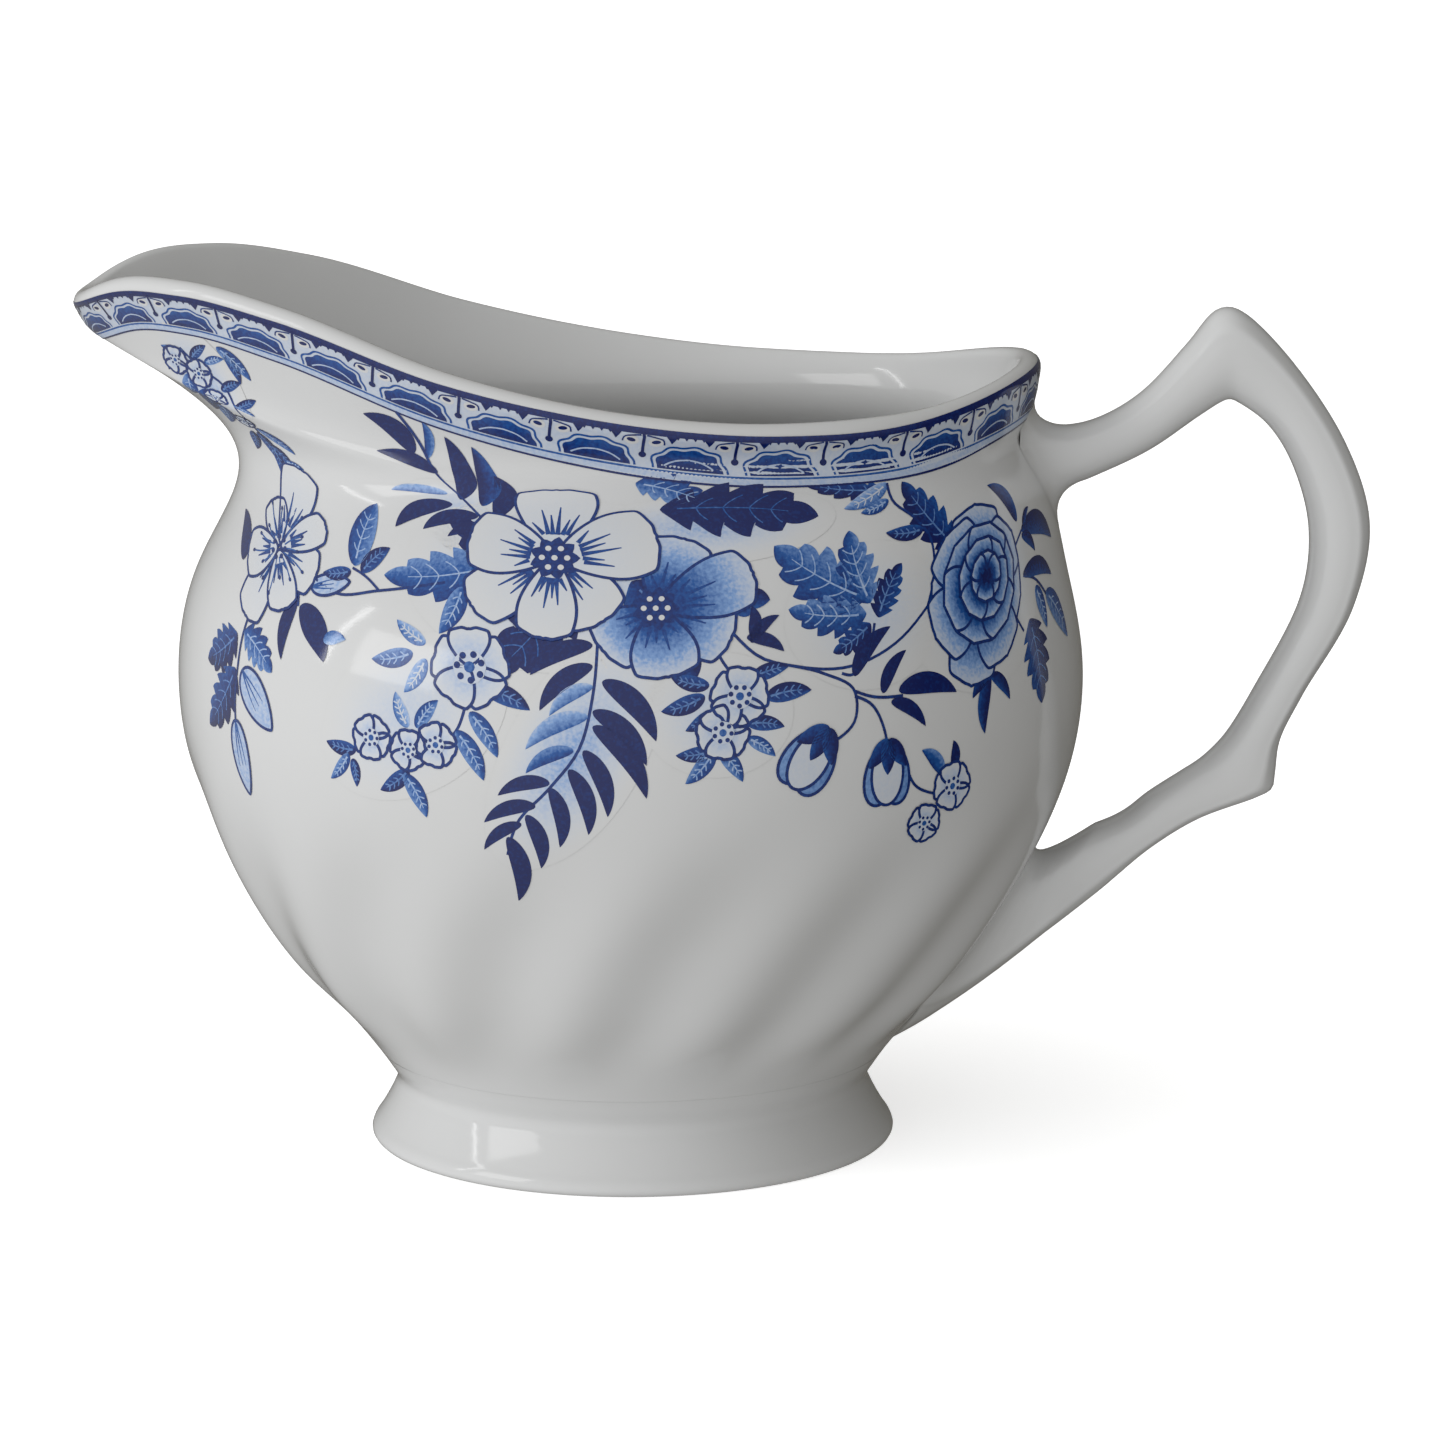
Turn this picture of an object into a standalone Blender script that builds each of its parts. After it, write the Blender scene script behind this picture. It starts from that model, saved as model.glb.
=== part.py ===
"""Cream jug: a slip-cast body, a flared foot ring and a separately cast handle.

The foot's axis is the working origin while the pieces are shaped. An empty then
carries them so that the frame's origin lies on the table, under the middle of the
whole jug. The spout points along -X and the handle along +X.
"""

import math

import bmesh
import bpy
import numpy as np

MM = 0.001

# Skin of the body. Each control ring is a hoop: height at the sides, reach towards the
# handle, reach towards the spout, half width, pinch towards the spout (0 is an ellipse),
# height at the handle and height at the spout. The skin is the cubic spline they control.
CONTROL_RINGS = [
    (7.4, 25.5, 25.5, 25.5, 0.00, 7.4, 7.4),
    (8.2, 27.1, 27.1, 27.1, 0.00, 8.2, 8.2),
    (13.2, 30.3, 30.3, 30.3, 0.00, 13.2, 13.2),
    (20.5, 37.8, 37.8, 37.8, 0.00, 20.5, 20.5),
    (31.0, 44.0, 44.0, 44.0, 0.00, 31.0, 31.0),
    (43.0, 49.7, 49.7, 49.7, 0.00, 43.0, 43.0),
    (55.0, 50.8, 50.8, 50.8, 0.00, 55.0, 55.0),
    (65.0, 48.2, 48.7, 47.6, 0.00, 65.0, 65.4),
    (73.0, 46.6, 42.6, 41.5, 0.05, 74.2, 74.2),
    (76.6, 43.5, 43.4, 37.7, 0.20, 78.6, 81.3),
    (79.0, 43.4, 56.4, 36.2, 0.39, 80.3, 90.3),
    (81.2, 44.8, 59.6, 36.6, 0.66, 83.2, 90.6),
]
RIM_BACK = 45.3
RIM_SPOUT = 61.3
RIM_HALF_WIDTH = 37.7
RIM_PINCH = 0.17
PINCH_POWER = 3.0
# Height of the rim, read along X from the spout's tip to the handle.
RIM_HEIGHTS = [
    (-61.3, 94.5),
    (-56.0, 97.8),
    (-48.5, 98.8),
    (-38.0, 96.9),
    (-20.0, 90.0),
    (0.0, 84.9),
    (16.0, 83.0),
    (32.0, 83.6),
    (45.3, 87.7),
]

# Wall. The skin gives way to the rounded lip at SKIN_TOP, just short of the rim.
WALL_AT_LIP = 2.6
WALL_AT_BELLY = 3.2
SKIN_TOP = 0.985
FLOOR_THICKNESS = 3.4
FLOOR_CORNER_HEIGHT = 1.5
FLOOR_RADII = (21.0, 12.0)

# Swirl flutes on the lower belly.
FLUTE_COUNT = 15
FLUTE_DEPTH = 0.27
FLUTE_FOOT_HEIGHT = 9.0
FLUTE_TOP_HEIGHT = 50.0
FLUTE_TWIST = 0.0112

# Foot ring profile: radius and height, down the outside and up the inside.
FOOT_PROFILE = [
    (26.6, 7.1),
    (26.8, 6.1),
    (27.5, 4.3),
    (28.5, 2.6),
    (29.3, 1.5),
    (29.5, 0.8),
    (29.2, 0.25),
    (28.6, 0.0),
    (26.2, 0.0),
    (25.4, 0.5),
    (24.0, 3.0),
    (23.0, 7.1),
]

# Handle stations from the neck over the peak and the spur to the belly: outer edge (x, z),
# inner edge (x, z) and half width across.
HANDLE_STATIONS = [
    (42.0, 80.8, 42.1, 72.7, 4.6),
    (48.1, 80.2, 48.3, 73.5, 4.3),
    (52.0, 81.1, 52.7, 75.2, 4.0),
    (56.6, 83.9, 57.6, 77.6, 3.8),
    (61.5, 89.2, 62.8, 81.2, 3.8),
    (64.6, 92.9, 65.5, 82.9, 3.9),
    (66.2, 93.3, 66.3, 83.1, 3.9),
    (67.9, 92.6, 67.1, 82.8, 3.9),
    (73.1, 87.4, 70.5, 80.3, 3.8),
    (79.1, 78.5, 73.6, 75.3, 3.8),
    (82.1, 69.3, 75.4, 68.4, 3.8),
    (80.5, 59.9, 74.6, 60.7, 3.7),
    (74.9, 49.7, 69.5, 50.3, 3.5),
    (72.5, 44.5, 66.6, 45.4, 3.5),
    (72.1, 40.9, 64.8, 43.4, 3.5),
    (71.8, 39.2, 63.4, 42.2, 3.5),
    (70.3, 38.3, 62.0, 41.3, 3.5),
    (63.6, 35.8, 57.9, 38.6, 3.5),
    (58.4, 32.6, 54.8, 36.2, 3.6),
    (52.3, 27.4, 48.3, 33.4, 4.0),
    (45.6, 22.3, 42.5, 28.6, 4.6),
    (38.6, 17.4, 34.8, 23.6, 4.8),
]
HANDLE_SECTION_POWER = 0.85

# Fit and fineness.
JOINT_GAP = 0.3
SEGMENTS = 60
OUTER_RINGS = 25
INNER_RINGS = 21
LIP_STEPS = 4
HANDLE_STEPS = 46
HANDLE_SIDES = 12
SHARP_ANGLE = math.radians(50.0)

GLAZE_COLOUR = (0.66, 0.66, 0.65, 1.0)
FOOT_COLOUR = (0.62, 0.62, 0.60, 1.0)
HANDLE_COLOUR = (0.60, 0.60, 0.58, 1.0)
GLAZE_ROUGHNESS = 0.12


def clear_scene():
    for thing in list(bpy.data.objects):
        bpy.data.objects.remove(thing, do_unlink=True)


def glaze_material(name, colour, roughness):
    material = bpy.data.materials.new(name)
    material.use_nodes = True
    shader = material.node_tree.nodes["Principled BSDF"]
    shader.inputs["Base Color"].default_value = colour
    shader.inputs["Roughness"].default_value = roughness
    shader.inputs["Metallic"].default_value = 0.0
    return material


def object_from_bmesh(name, mesh_data, material):
    """Write the bmesh, given in millimetres, into a new smooth-shaded object."""
    bmesh.ops.scale(mesh_data, vec=(MM, MM, MM), verts=mesh_data.verts)
    bmesh.ops.recalc_face_normals(mesh_data, faces=mesh_data.faces)
    mesh = bpy.data.meshes.new(name)
    mesh_data.to_mesh(mesh)
    mesh_data.free()
    mesh.shade_smooth()
    mesh.set_sharp_from_angle(angle=SHARP_ANGLE)
    if material is not None:
        mesh.materials.append(material)
    thing = bpy.data.objects.new(name, mesh)
    bpy.context.scene.collection.objects.link(thing)
    return thing


def smooth_curve(position, knots, values):
    """Read a smooth curve through the knots, with its slope at each knot set by its neighbours."""
    knots = np.asarray(knots, dtype=float)
    values = np.asarray(values, dtype=float)
    gaps = np.diff(knots)
    rises = np.diff(values) / gaps
    slopes = np.empty(len(knots))
    slopes[1:-1] = (rises[:-1] * gaps[1:] + rises[1:] * gaps[:-1]) / (gaps[:-1] + gaps[1:])
    slopes[0] = 1.5 * rises[0] - 0.5 * slopes[1]
    slopes[-1] = 1.5 * rises[-1] - 0.5 * slopes[-2]
    position = np.clip(position, knots[0], knots[-1])
    span = np.clip(np.searchsorted(knots, position) - 1, 0, len(gaps) - 1)
    step = (position - knots[span]) / gaps[span]
    start = values[span] * (1 + 2 * step) * (1 - step) ** 2
    start_slope = slopes[span] * gaps[span] * step * (1 - step) ** 2
    end = values[span + 1] * step ** 2 * (3 - 2 * step)
    end_slope = slopes[span + 1] * gaps[span] * step ** 2 * (step - 1)
    return start + start_slope + end + end_slope


def hoop_outline(angles, back, spout, half_width, pinch):
    """Plan of one hoop: angle 0 points at the handle, half a turn at the spout."""
    x = (back - spout) / 2 + (back + spout) / 2 * np.cos(angles)
    narrowing = 1 - pinch * ((1 - np.cos(angles)) / 2) ** PINCH_POWER
    return x, half_width * np.sin(angles) * narrowing


def control_hoop(row, angles):
    side_height, back, spout, half_width, pinch, back_height, spout_height = row
    x, y = hoop_outline(angles, back, spout, half_width, pinch)
    towards_back = np.clip(np.cos(angles), 0, 1) ** 2
    towards_spout = np.clip(-np.cos(angles), 0, 1) ** 2
    z = side_height + (back_height - side_height) * towards_back
    z = z + (spout_height - side_height) * towards_spout
    return np.stack([x, y, z], axis=-1)


def rim_hoop(angles):
    x, y = hoop_outline(angles, RIM_BACK, RIM_SPOUT, RIM_HALF_WIDTH, RIM_PINCH)
    places, heights = zip(*RIM_HEIGHTS)
    return np.stack([x, y, smooth_curve(x, places, heights)], axis=-1)


def plain_skin(angles, rise):
    """Points of the skin without flutes; rise runs from 0 at the waist to 1 at the rim."""
    hoops = [control_hoop(row, angles) for row in CONTROL_RINGS]
    hoops.append(rim_hoop(angles))
    spans = len(hoops) - 1
    hoops.insert(0, 2 * hoops[0] - hoops[1])
    hoops.append(2 * hoops[-1] - hoops[-2])
    hoops = np.array(hoops)
    place = np.clip(rise, 0, 1) * spans
    first = np.minimum(place.astype(int), spans - 1)
    t = (place - first)[:, None, None]
    weights = (
        (1 - t) ** 3 / 6,
        (3 * t ** 3 - 6 * t ** 2 + 4) / 6,
        (-3 * t ** 3 + 3 * t ** 2 + 3 * t + 1) / 6,
        t ** 3 / 6,
    )
    return sum(weight * hoops[first + offset] for offset, weight in enumerate(weights))


def ease(value):
    value = np.clip(value, 0, 1)
    return value * value * (3 - 2 * value)


def flute_wave(angles, heights):
    """Depth of the swirl flutes, fading out at the waist and up the belly."""
    above = heights - FLUTE_FOOT_HEIGHT
    middle = (FLUTE_TOP_HEIGHT - FLUTE_FOOT_HEIGHT) / 2
    fade = ease(above / (middle / 2)) * ease((FLUTE_TOP_HEIGHT - heights) / middle)
    twist = FLUTE_TWIST * above
    return -FLUTE_DEPTH * fade * np.cos(FLUTE_COUNT * (angles[None, :] - twist))


def outward(points):
    """Unit normals of a grid of points that is closed around and open up the side."""
    around = np.roll(points, -1, axis=1) - np.roll(points, 1, axis=1)
    up = np.gradient(points, axis=0)
    normals = np.cross(around, up)
    return normals / np.linalg.norm(normals, axis=-1, keepdims=True)


def outer_skin(angles, rise, clearance=0.0):
    points = plain_skin(angles, rise)
    lift = flute_wave(angles, points[..., 2]) + clearance
    return points + outward(points) * lift[..., None]


def add_hoop(mesh_data, points):
    verts = [mesh_data.verts.new(point) for point in points]
    return [mesh_data.edges.new((verts[i - 1], verts[i])) for i in range(len(verts))]


def loft(mesh_data, hoops):
    """Bridge each hoop to the next one and return the first and the last hoop's edges."""
    loops = [add_hoop(mesh_data, points) for points in hoops]
    for lower, upper in zip(loops[:-1], loops[1:]):
        bmesh.ops.bridge_loops(mesh_data, edges=lower + upper)
    return loops[0], loops[-1]


def close_hoop(mesh_data, edges):
    bmesh.ops.contextual_create(mesh_data, geom=edges)


def lip_hoops(outer_edge, inner_edge, direction):
    """Hoops over the rounded lip, between the outer and the inner edge of the wall."""
    middle = (outer_edge + inner_edge) / 2
    radius = np.linalg.norm(outer_edge - inner_edge, axis=-1, keepdims=True) / 2
    hoops = []
    for step in range(1, LIP_STEPS):
        turn = math.pi * step / LIP_STEPS
        sideways = (outer_edge - middle) * math.cos(turn)
        hoops.append(middle + sideways + direction * radius * math.sin(turn))
    return hoops


def inner_skin(angles, rise):
    points = plain_skin(angles, rise)
    wall = WALL_AT_BELLY + (WALL_AT_LIP - WALL_AT_BELLY) * ease(2 * rise - 1)
    return points - outward(points) * wall[:, None, None]


def make_body_shell():
    """Belly, neck, spout, rounded lip and floor as one wall."""
    angles = np.linspace(0, 2 * math.pi, SEGMENTS, endpoint=False)
    outer = outer_skin(angles, np.linspace(0, SKIN_TOP, OUTER_RINGS))
    inner = inner_skin(angles, np.linspace(0, SKIN_TOP, INNER_RINGS))
    floor_height = CONTROL_RINGS[0][0] + FLOOR_THICKNESS
    above_floor = inner[:, :, 2].min(axis=1) > floor_height + FLOOR_CORNER_HEIGHT
    wall_hoops = inner[above_floor][::-1]
    upward = outer[-1] - outer[-2]
    upward = upward / np.linalg.norm(upward, axis=-1, keepdims=True)
    floor_hoops = []
    for radius in FLOOR_RADII:
        ring = [radius * np.cos(angles), radius * np.sin(angles), np.full(SEGMENTS, floor_height)]
        floor_hoops.append(np.stack(ring, axis=-1))
    hoops = list(outer) + lip_hoops(outer[-1], wall_hoops[0], upward) + list(wall_hoops) + floor_hoops
    mesh_data = bmesh.new()
    underside, floor = loft(mesh_data, hoops)
    close_hoop(mesh_data, underside)
    close_hoop(mesh_data, floor)
    glaze = glaze_material("body_glaze", GLAZE_COLOUR, GLAZE_ROUGHNESS)
    return object_from_bmesh("body_shell", mesh_data, glaze)


def make_foot_ring():
    """Turned ring: the profile spun a full turn about the foot's axis."""
    mesh_data = bmesh.new()
    verts = [mesh_data.verts.new((radius, 0.0, height)) for radius, height in FOOT_PROFILE]
    for index in range(len(verts)):
        mesh_data.edges.new((verts[index - 1], verts[index]))
    glaze = glaze_material("foot_glaze", FOOT_COLOUR, GLAZE_ROUGHNESS)
    foot = object_from_bmesh("foot_ring", mesh_data, glaze)
    spin = foot.modifiers.new("turn", "SCREW")
    spin.axis = "Z"
    spin.angle = 2 * math.pi
    spin.steps = SEGMENTS
    spin.render_steps = SEGMENTS
    spin.use_merge_vertices = True
    spin.merge_threshold = 0.00001
    spin.use_smooth_shade = True
    return foot


def make_seat_cutter():
    """The body's outer skin grown by the joint gap and closed: what the handle is cut back to."""
    angles = np.linspace(0, 2 * math.pi, SEGMENTS, endpoint=False)
    mesh_data = bmesh.new()
    ends = loft(mesh_data, outer_skin(angles, np.linspace(0, 1, OUTER_RINGS), JOINT_GAP))
    for edges in ends:
        close_hoop(mesh_data, edges)
    cutter = object_from_bmesh("handle_seat_cutter", mesh_data, None)
    cutter.hide_render = True
    cutter.display_type = "WIRE"
    return cutter


def handle_section(outer_edge, inner_edge, half_width):
    """Rounded section that spans the handle's two edges in the plane of the loop."""
    middle = (outer_edge + inner_edge) / 2
    reach = (outer_edge - inner_edge) / 2
    points = []
    for side in range(HANDLE_SIDES):
        turn = 2 * math.pi * side / HANDLE_SIDES
        along = math.copysign(abs(math.cos(turn)) ** HANDLE_SECTION_POWER, math.cos(turn))
        across = math.copysign(abs(math.sin(turn)) ** HANDLE_SECTION_POWER, math.sin(turn))
        x, z = middle + reach * along
        points.append((x, half_width * across, z))
    return points


def make_handle(seat_cutter):
    """Loop with an angular peak and a small spur, lofted from section to section."""
    columns = np.array(HANDLE_STATIONS).T
    outer_x, outer_z, inner_x, inner_z, _ = columns
    middle = np.stack([outer_x + inner_x, outer_z + inner_z], axis=-1) / 2
    edge_steps = np.linalg.norm(np.diff(middle, axis=0), axis=-1)
    travel = np.concatenate([[0.0], np.cumsum(np.sqrt(edge_steps))])
    places = np.linspace(0, travel[-1], HANDLE_STEPS)
    stations = [smooth_curve(places, travel, column) for column in columns]
    hoops = []
    for x_out, z_out, x_in, z_in, half_width in zip(*stations):
        hoops.append(handle_section(np.array([x_out, z_out]), np.array([x_in, z_in]), half_width))
    mesh_data = bmesh.new()
    for edges in loft(mesh_data, hoops):
        close_hoop(mesh_data, edges)
    glaze = glaze_material("handle_glaze", HANDLE_COLOUR, GLAZE_ROUGHNESS)
    handle = object_from_bmesh("handle", mesh_data, glaze)
    seat = handle.modifiers.new("seat", "BOOLEAN")
    seat.operation = "DIFFERENCE"
    seat.solver = "EXACT"
    seat.object = seat_cutter
    return handle


def stand_in_frame(pieces, guides):
    """Carry everything on an empty, with the frame's origin under the middle of the pieces."""
    reach = [vert.co.x for piece in pieces for vert in piece.data.vertices]
    frame = bpy.data.objects.new("jug_frame", None)
    bpy.context.scene.collection.objects.link(frame)
    frame.location.x = -(min(reach) + max(reach)) / 2
    for carried in pieces + guides:
        carried.parent = frame


def main():
    clear_scene()
    body = make_body_shell()
    foot = make_foot_ring()
    cutter = make_seat_cutter()
    handle = make_handle(cutter)
    stand_in_frame([body, foot, handle], [cutter])
    bpy.context.view_layer.update()


main()
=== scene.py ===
"""A glazed cream jug with a cobalt transfer print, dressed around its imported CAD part."""

import math

import bpy
import numpy as np
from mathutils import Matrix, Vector, kdtree


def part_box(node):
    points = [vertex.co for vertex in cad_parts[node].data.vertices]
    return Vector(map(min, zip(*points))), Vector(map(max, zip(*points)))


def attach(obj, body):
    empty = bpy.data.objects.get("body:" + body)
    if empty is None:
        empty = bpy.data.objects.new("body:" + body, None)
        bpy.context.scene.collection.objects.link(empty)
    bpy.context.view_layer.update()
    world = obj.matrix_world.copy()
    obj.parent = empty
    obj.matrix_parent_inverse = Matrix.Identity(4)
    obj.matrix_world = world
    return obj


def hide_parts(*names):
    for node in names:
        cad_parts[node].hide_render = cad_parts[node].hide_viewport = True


MM = 0.001

CLAY_LIGHT = (0.56, 0.562, 0.558, 1.0)
CLAY_DARK = (0.53, 0.53, 0.52, 1.0)

# ---------------------------------------------------------------- skin of the body, in millimetres
# Height at the sides, reach to the handle, reach to the spout, half width, pinch, height at the
# handle and height at the spout of each control hoop.
CONTROL_RINGS = [
    (7.4, 25.5, 25.5, 25.5, 0.00, 7.4, 7.4),
    (8.2, 27.1, 27.1, 27.1, 0.00, 8.2, 8.2),
    (13.2, 30.3, 30.3, 30.3, 0.00, 13.2, 13.2),
    (20.5, 37.8, 37.8, 37.8, 0.00, 20.5, 20.5),
    (31.0, 44.0, 44.0, 44.0, 0.00, 31.0, 31.0),
    (43.0, 49.7, 49.7, 49.7, 0.00, 43.0, 43.0),
    (55.0, 50.8, 50.8, 50.8, 0.00, 55.0, 55.0),
    (65.0, 48.2, 48.7, 47.6, 0.00, 65.0, 65.4),
    (73.0, 46.6, 42.6, 41.5, 0.05, 74.2, 74.2),
    (76.6, 43.5, 43.4, 37.7, 0.20, 78.6, 81.3),
    (79.0, 43.4, 56.4, 36.2, 0.39, 80.3, 90.3),
    (81.2, 44.8, 59.6, 36.6, 0.66, 83.2, 90.6),
]
RIM_BACK = 45.3
RIM_SPOUT = 61.3
RIM_HALF_WIDTH = 37.7
RIM_PINCH = 0.17
PINCH_POWER = 3.0
RIM_HEIGHTS = [
    (-61.3, 94.5),
    (-56.0, 97.8),
    (-48.5, 98.8),
    (-38.0, 96.9),
    (-20.0, 90.0),
    (0.0, 84.9),
    (16.0, 83.0),
    (32.0, 83.6),
    (45.3, 87.7),
]
WALL_AT_LIP = 2.6
WALL_AT_BELLY = 3.2
SKIN_TOP = 0.985
FLOOR_HEIGHT = 10.8
FLOOR_CORNER = 7.0

FLUTE_COUNT = 15
FLUTE_DEPTH = 0.46
FLUTE_FOOT_HEIGHT = 9.0
FLUTE_FADE_HEIGHT = 11.0
FLUTE_TOP_HEIGHT = 50.0
FLUTE_TWIST = 0.0112

# Foot profile, radius and height, from the waist down the outside and up the inside.
FOOT_OUTSIDE = [
    (28.695, 10.65),
    (28.09, 9.8),
    (27.56, 9.0),
    (27.02, 8.2),
    (26.62, 7.4),
    (26.54, 6.6),
    (26.95, 5.5),
    (27.70, 4.0),
    (28.65, 2.4),
    (29.30, 1.4),
    (29.45, 0.75),
    (29.15, 0.25),
    (28.50, 0.0),
]
FOOT_INSIDE = [
    (26.3, 0.0),
    (25.5, 0.35),
    (24.8, 1.3),
    (24.0, 3.2),
    (23.3, 5.6),
    (22.9, 7.5),
]

# Handle stations from the neck over the peak and the spur to the belly: outer edge (x, z),
# inner edge (x, z) and half width across.
HANDLE_STATIONS = [
    (42.0, 80.8, 42.1, 72.7, 4.6),
    (48.1, 80.2, 48.3, 73.5, 4.3),
    (52.0, 81.1, 52.7, 75.2, 4.0),
    (56.6, 83.9, 57.6, 77.6, 3.8),
    (61.5, 89.2, 62.8, 81.2, 3.8),
    (64.6, 92.9, 65.5, 82.9, 3.9),
    (66.2, 93.3, 66.3, 83.1, 3.9),
    (67.9, 92.6, 67.1, 82.8, 3.9),
    (73.1, 87.4, 70.5, 80.3, 3.8),
    (79.1, 78.5, 73.6, 75.3, 3.8),
    (82.1, 69.3, 75.4, 68.4, 3.8),
    (80.5, 59.9, 74.6, 60.7, 3.7),
    (74.9, 49.7, 69.5, 50.3, 3.5),
    (72.5, 44.5, 66.6, 45.4, 3.5),
    (72.1, 40.9, 64.8, 43.4, 3.5),
    (71.8, 39.2, 63.4, 42.2, 3.5),
    (70.3, 38.3, 62.0, 41.3, 3.5),
    (63.6, 35.8, 57.9, 38.6, 3.5),
    (58.4, 32.6, 54.8, 36.2, 3.6),
    (52.3, 27.4, 48.3, 33.4, 4.0),
    (45.6, 22.3, 42.5, 28.6, 5.6),
    (38.6, 17.4, 34.8, 23.6, 7.2),
]
HANDLE_SECTION_POWER = 0.85
HANDLE_RIDGE_TURN = 0.62
HANDLE_RIDGE_SPREAD = 0.16
HANDLE_RIDGE_HEIGHT = 0.07
NECK_FILLET = 4.2
BELLY_FILLET = 5.6
NECK_ROW = 10
BELLY_ROW = -20
FILLET_LIFT = 0.02

# Fineness of the meshes.
BODY_TURNS = 384
OUTER_ROWS = 170
INNER_ROWS = 66
LIP_ROWS = 10
FLOOR_ROWS = 10
FOOT_TURNS = 384
HANDLE_ROWS = 240
HANDLE_SIDES = 56
FILLET_ROWS = 10


# ---------------------------------------------------------------- print: tones and line widths
NAVY = 1.0
DARK = 0.9
COBALT = 0.68
PALE = 0.48
EDGE_LINE = 0.17
THIN_LINE = 0.1
STEM_LINE = 0.16
TOOTH_DEPTH = 0.5
LEAF_SHADE = 0.17
LEAF_GAIN = 1.2
TOOTHED_GAIN = 1.2
VEIN_SHARES = (0.22, 0.38, 0.54, 0.68)
VEIN_CONTRAST = 0.34
LEAF_POINTS = 40
LEAF_COLUMNS = 7
PETAL_POINTS = 96
NOTCH_SPREAD = 0.2
CRINKLE_DEPTH = 0.075
CRINKLE_TURNS = 3.5
GLOW_POINTS = 96
GLOW_RING = 0.45
PRINT_LIFT = 0.04
PRINT_LAYER = 0.009
CHART_COLUMNS = 900
CHART_ROWS = 360
CHART_ROUNDS = 8
BORDER_STEP = 0.25
BORDER_ROWS = 34
BORDER_SHRINK = 0.15
INKS = [
    (0.0, (0.42, 0.52, 0.68, 1.0)),
    (0.4, (0.17, 0.29, 0.53, 1.0)),
    (0.68, (0.006, 0.070, 0.27, 1.0)),
    (0.85, (0.0005, 0.028, 0.165, 1.0)),
    (1.0, (0.0002, 0.007, 0.085, 1.0)),
]

# Places of the print, in millimetres round the jug from the front and above the table.
# A leaf is its base, its tip, its half width as a share of its length, and its tone.
SOLID_LEAVES = [
    # fern under the spout end of the border
    (-23.5, 81.5, -29.5, 85.5, 0.17, NAVY), (-21, 79.5, -28, 81.5, 0.19, NAVY),
    (-20, 77.5, -27, 77.5, 0.18, PALE), (-19.5, 76.5, -26.5, 74, 0.18, NAVY),
    (-16.5, 75.5, -23, 74, 0.18, NAVY), (-15, 74.5, -20, 73.5, 0.17, NAVY),
    (-22, 81, -22.5, 85, 0.16, COBALT), (-18.5, 77, -20, 83.5, 0.13, NAVY),
    (-16, 76.5, -17, 82.5, 0.14, DARK), (-14.5, 75.5, -14.5, 79.5, 0.18, NAVY),
    # fern that hangs under the large flower
    (-4, 64, -10.5, 61, 0.17, NAVY), (-4, 62, -9.5, 57.5, 0.17, NAVY),
    (-4, 60, -8.5, 57, 0.17, PALE), (-4.5, 57, -11, 53.5, 0.16, PALE),
    (-6, 53.5, -11, 51, 0.17, COBALT), (-8.5, 50, -14, 48.5, 0.17, NAVY),
    (-10, 47.5, -15.5, 45.5, 0.17, NAVY), (-11.5, 45.5, -15.5, 42.5, 0.17, NAVY),
    (-3, 60.5, 2.5, 54.5, 0.18, NAVY), (-4, 57.5, 1.5, 52, 0.17, NAVY),
    (-4, 56, 1.5, 48.5, 0.15, NAVY), (-5, 53.5, -2.5, 46.5, 0.16, NAVY),
    (-6.5, 51.5, -4.5, 44.5, 0.16, NAVY), (-8.5, 49.5, -7.5, 43, 0.16, NAVY),
    (-11, 46.5, -9.5, 40.5, 0.17, NAVY), (-13, 44, -12, 36.5, 0.16, NAVY),
    # leaves by the outline flower
    (-51.5, 68.5, -54, 73, 0.28, NAVY), (-39.5, 66, -41.5, 60, 0.17, NAVY),
    (-39, 65.5, -35, 60.5, 0.33, NAVY), (-35, 62.5, -32, 63, 0.3, PALE),
    # small leaves by the second flower and on the right-hand branch
    (12.5, 64.5, 12.5, 67.5, 0.25, NAVY), (12.5, 64, 15.5, 66.5, 0.2, NAVY),
    (12, 64.5, 16, 63, 0.2, NAVY), (24, 60, 28.5, 64.5, 0.18, NAVY),
    (27.5, 58, 30.5, 62, 0.19, NAVY), (29.5, 58, 37.5, 57, 0.18, NAVY),
    (28.5, 57, 33, 54, 0.17, NAVY), (35.5, 48.5, 32.5, 51.5, 0.25, COBALT),
    (37, 49, 37, 52, 0.28, NAVY),
    # right-hand sprays
    (49.5, 72.5, 44, 76.5, 0.15, DARK), (51, 72, 53, 73.5, 0.2, DARK),
    (50.5, 71.5, 60.5, 69.5, 0.16, DARK), (50.5, 71, 54, 69, 0.2, DARK),
    (50.5, 67, 59, 66, 0.15, DARK), (43, 58, 40, 56, 0.25, DARK),
    (43, 58, 46.5, 55, 0.2, DARK), (43, 58, 42, 52, 0.2, DARK),
]
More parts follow.
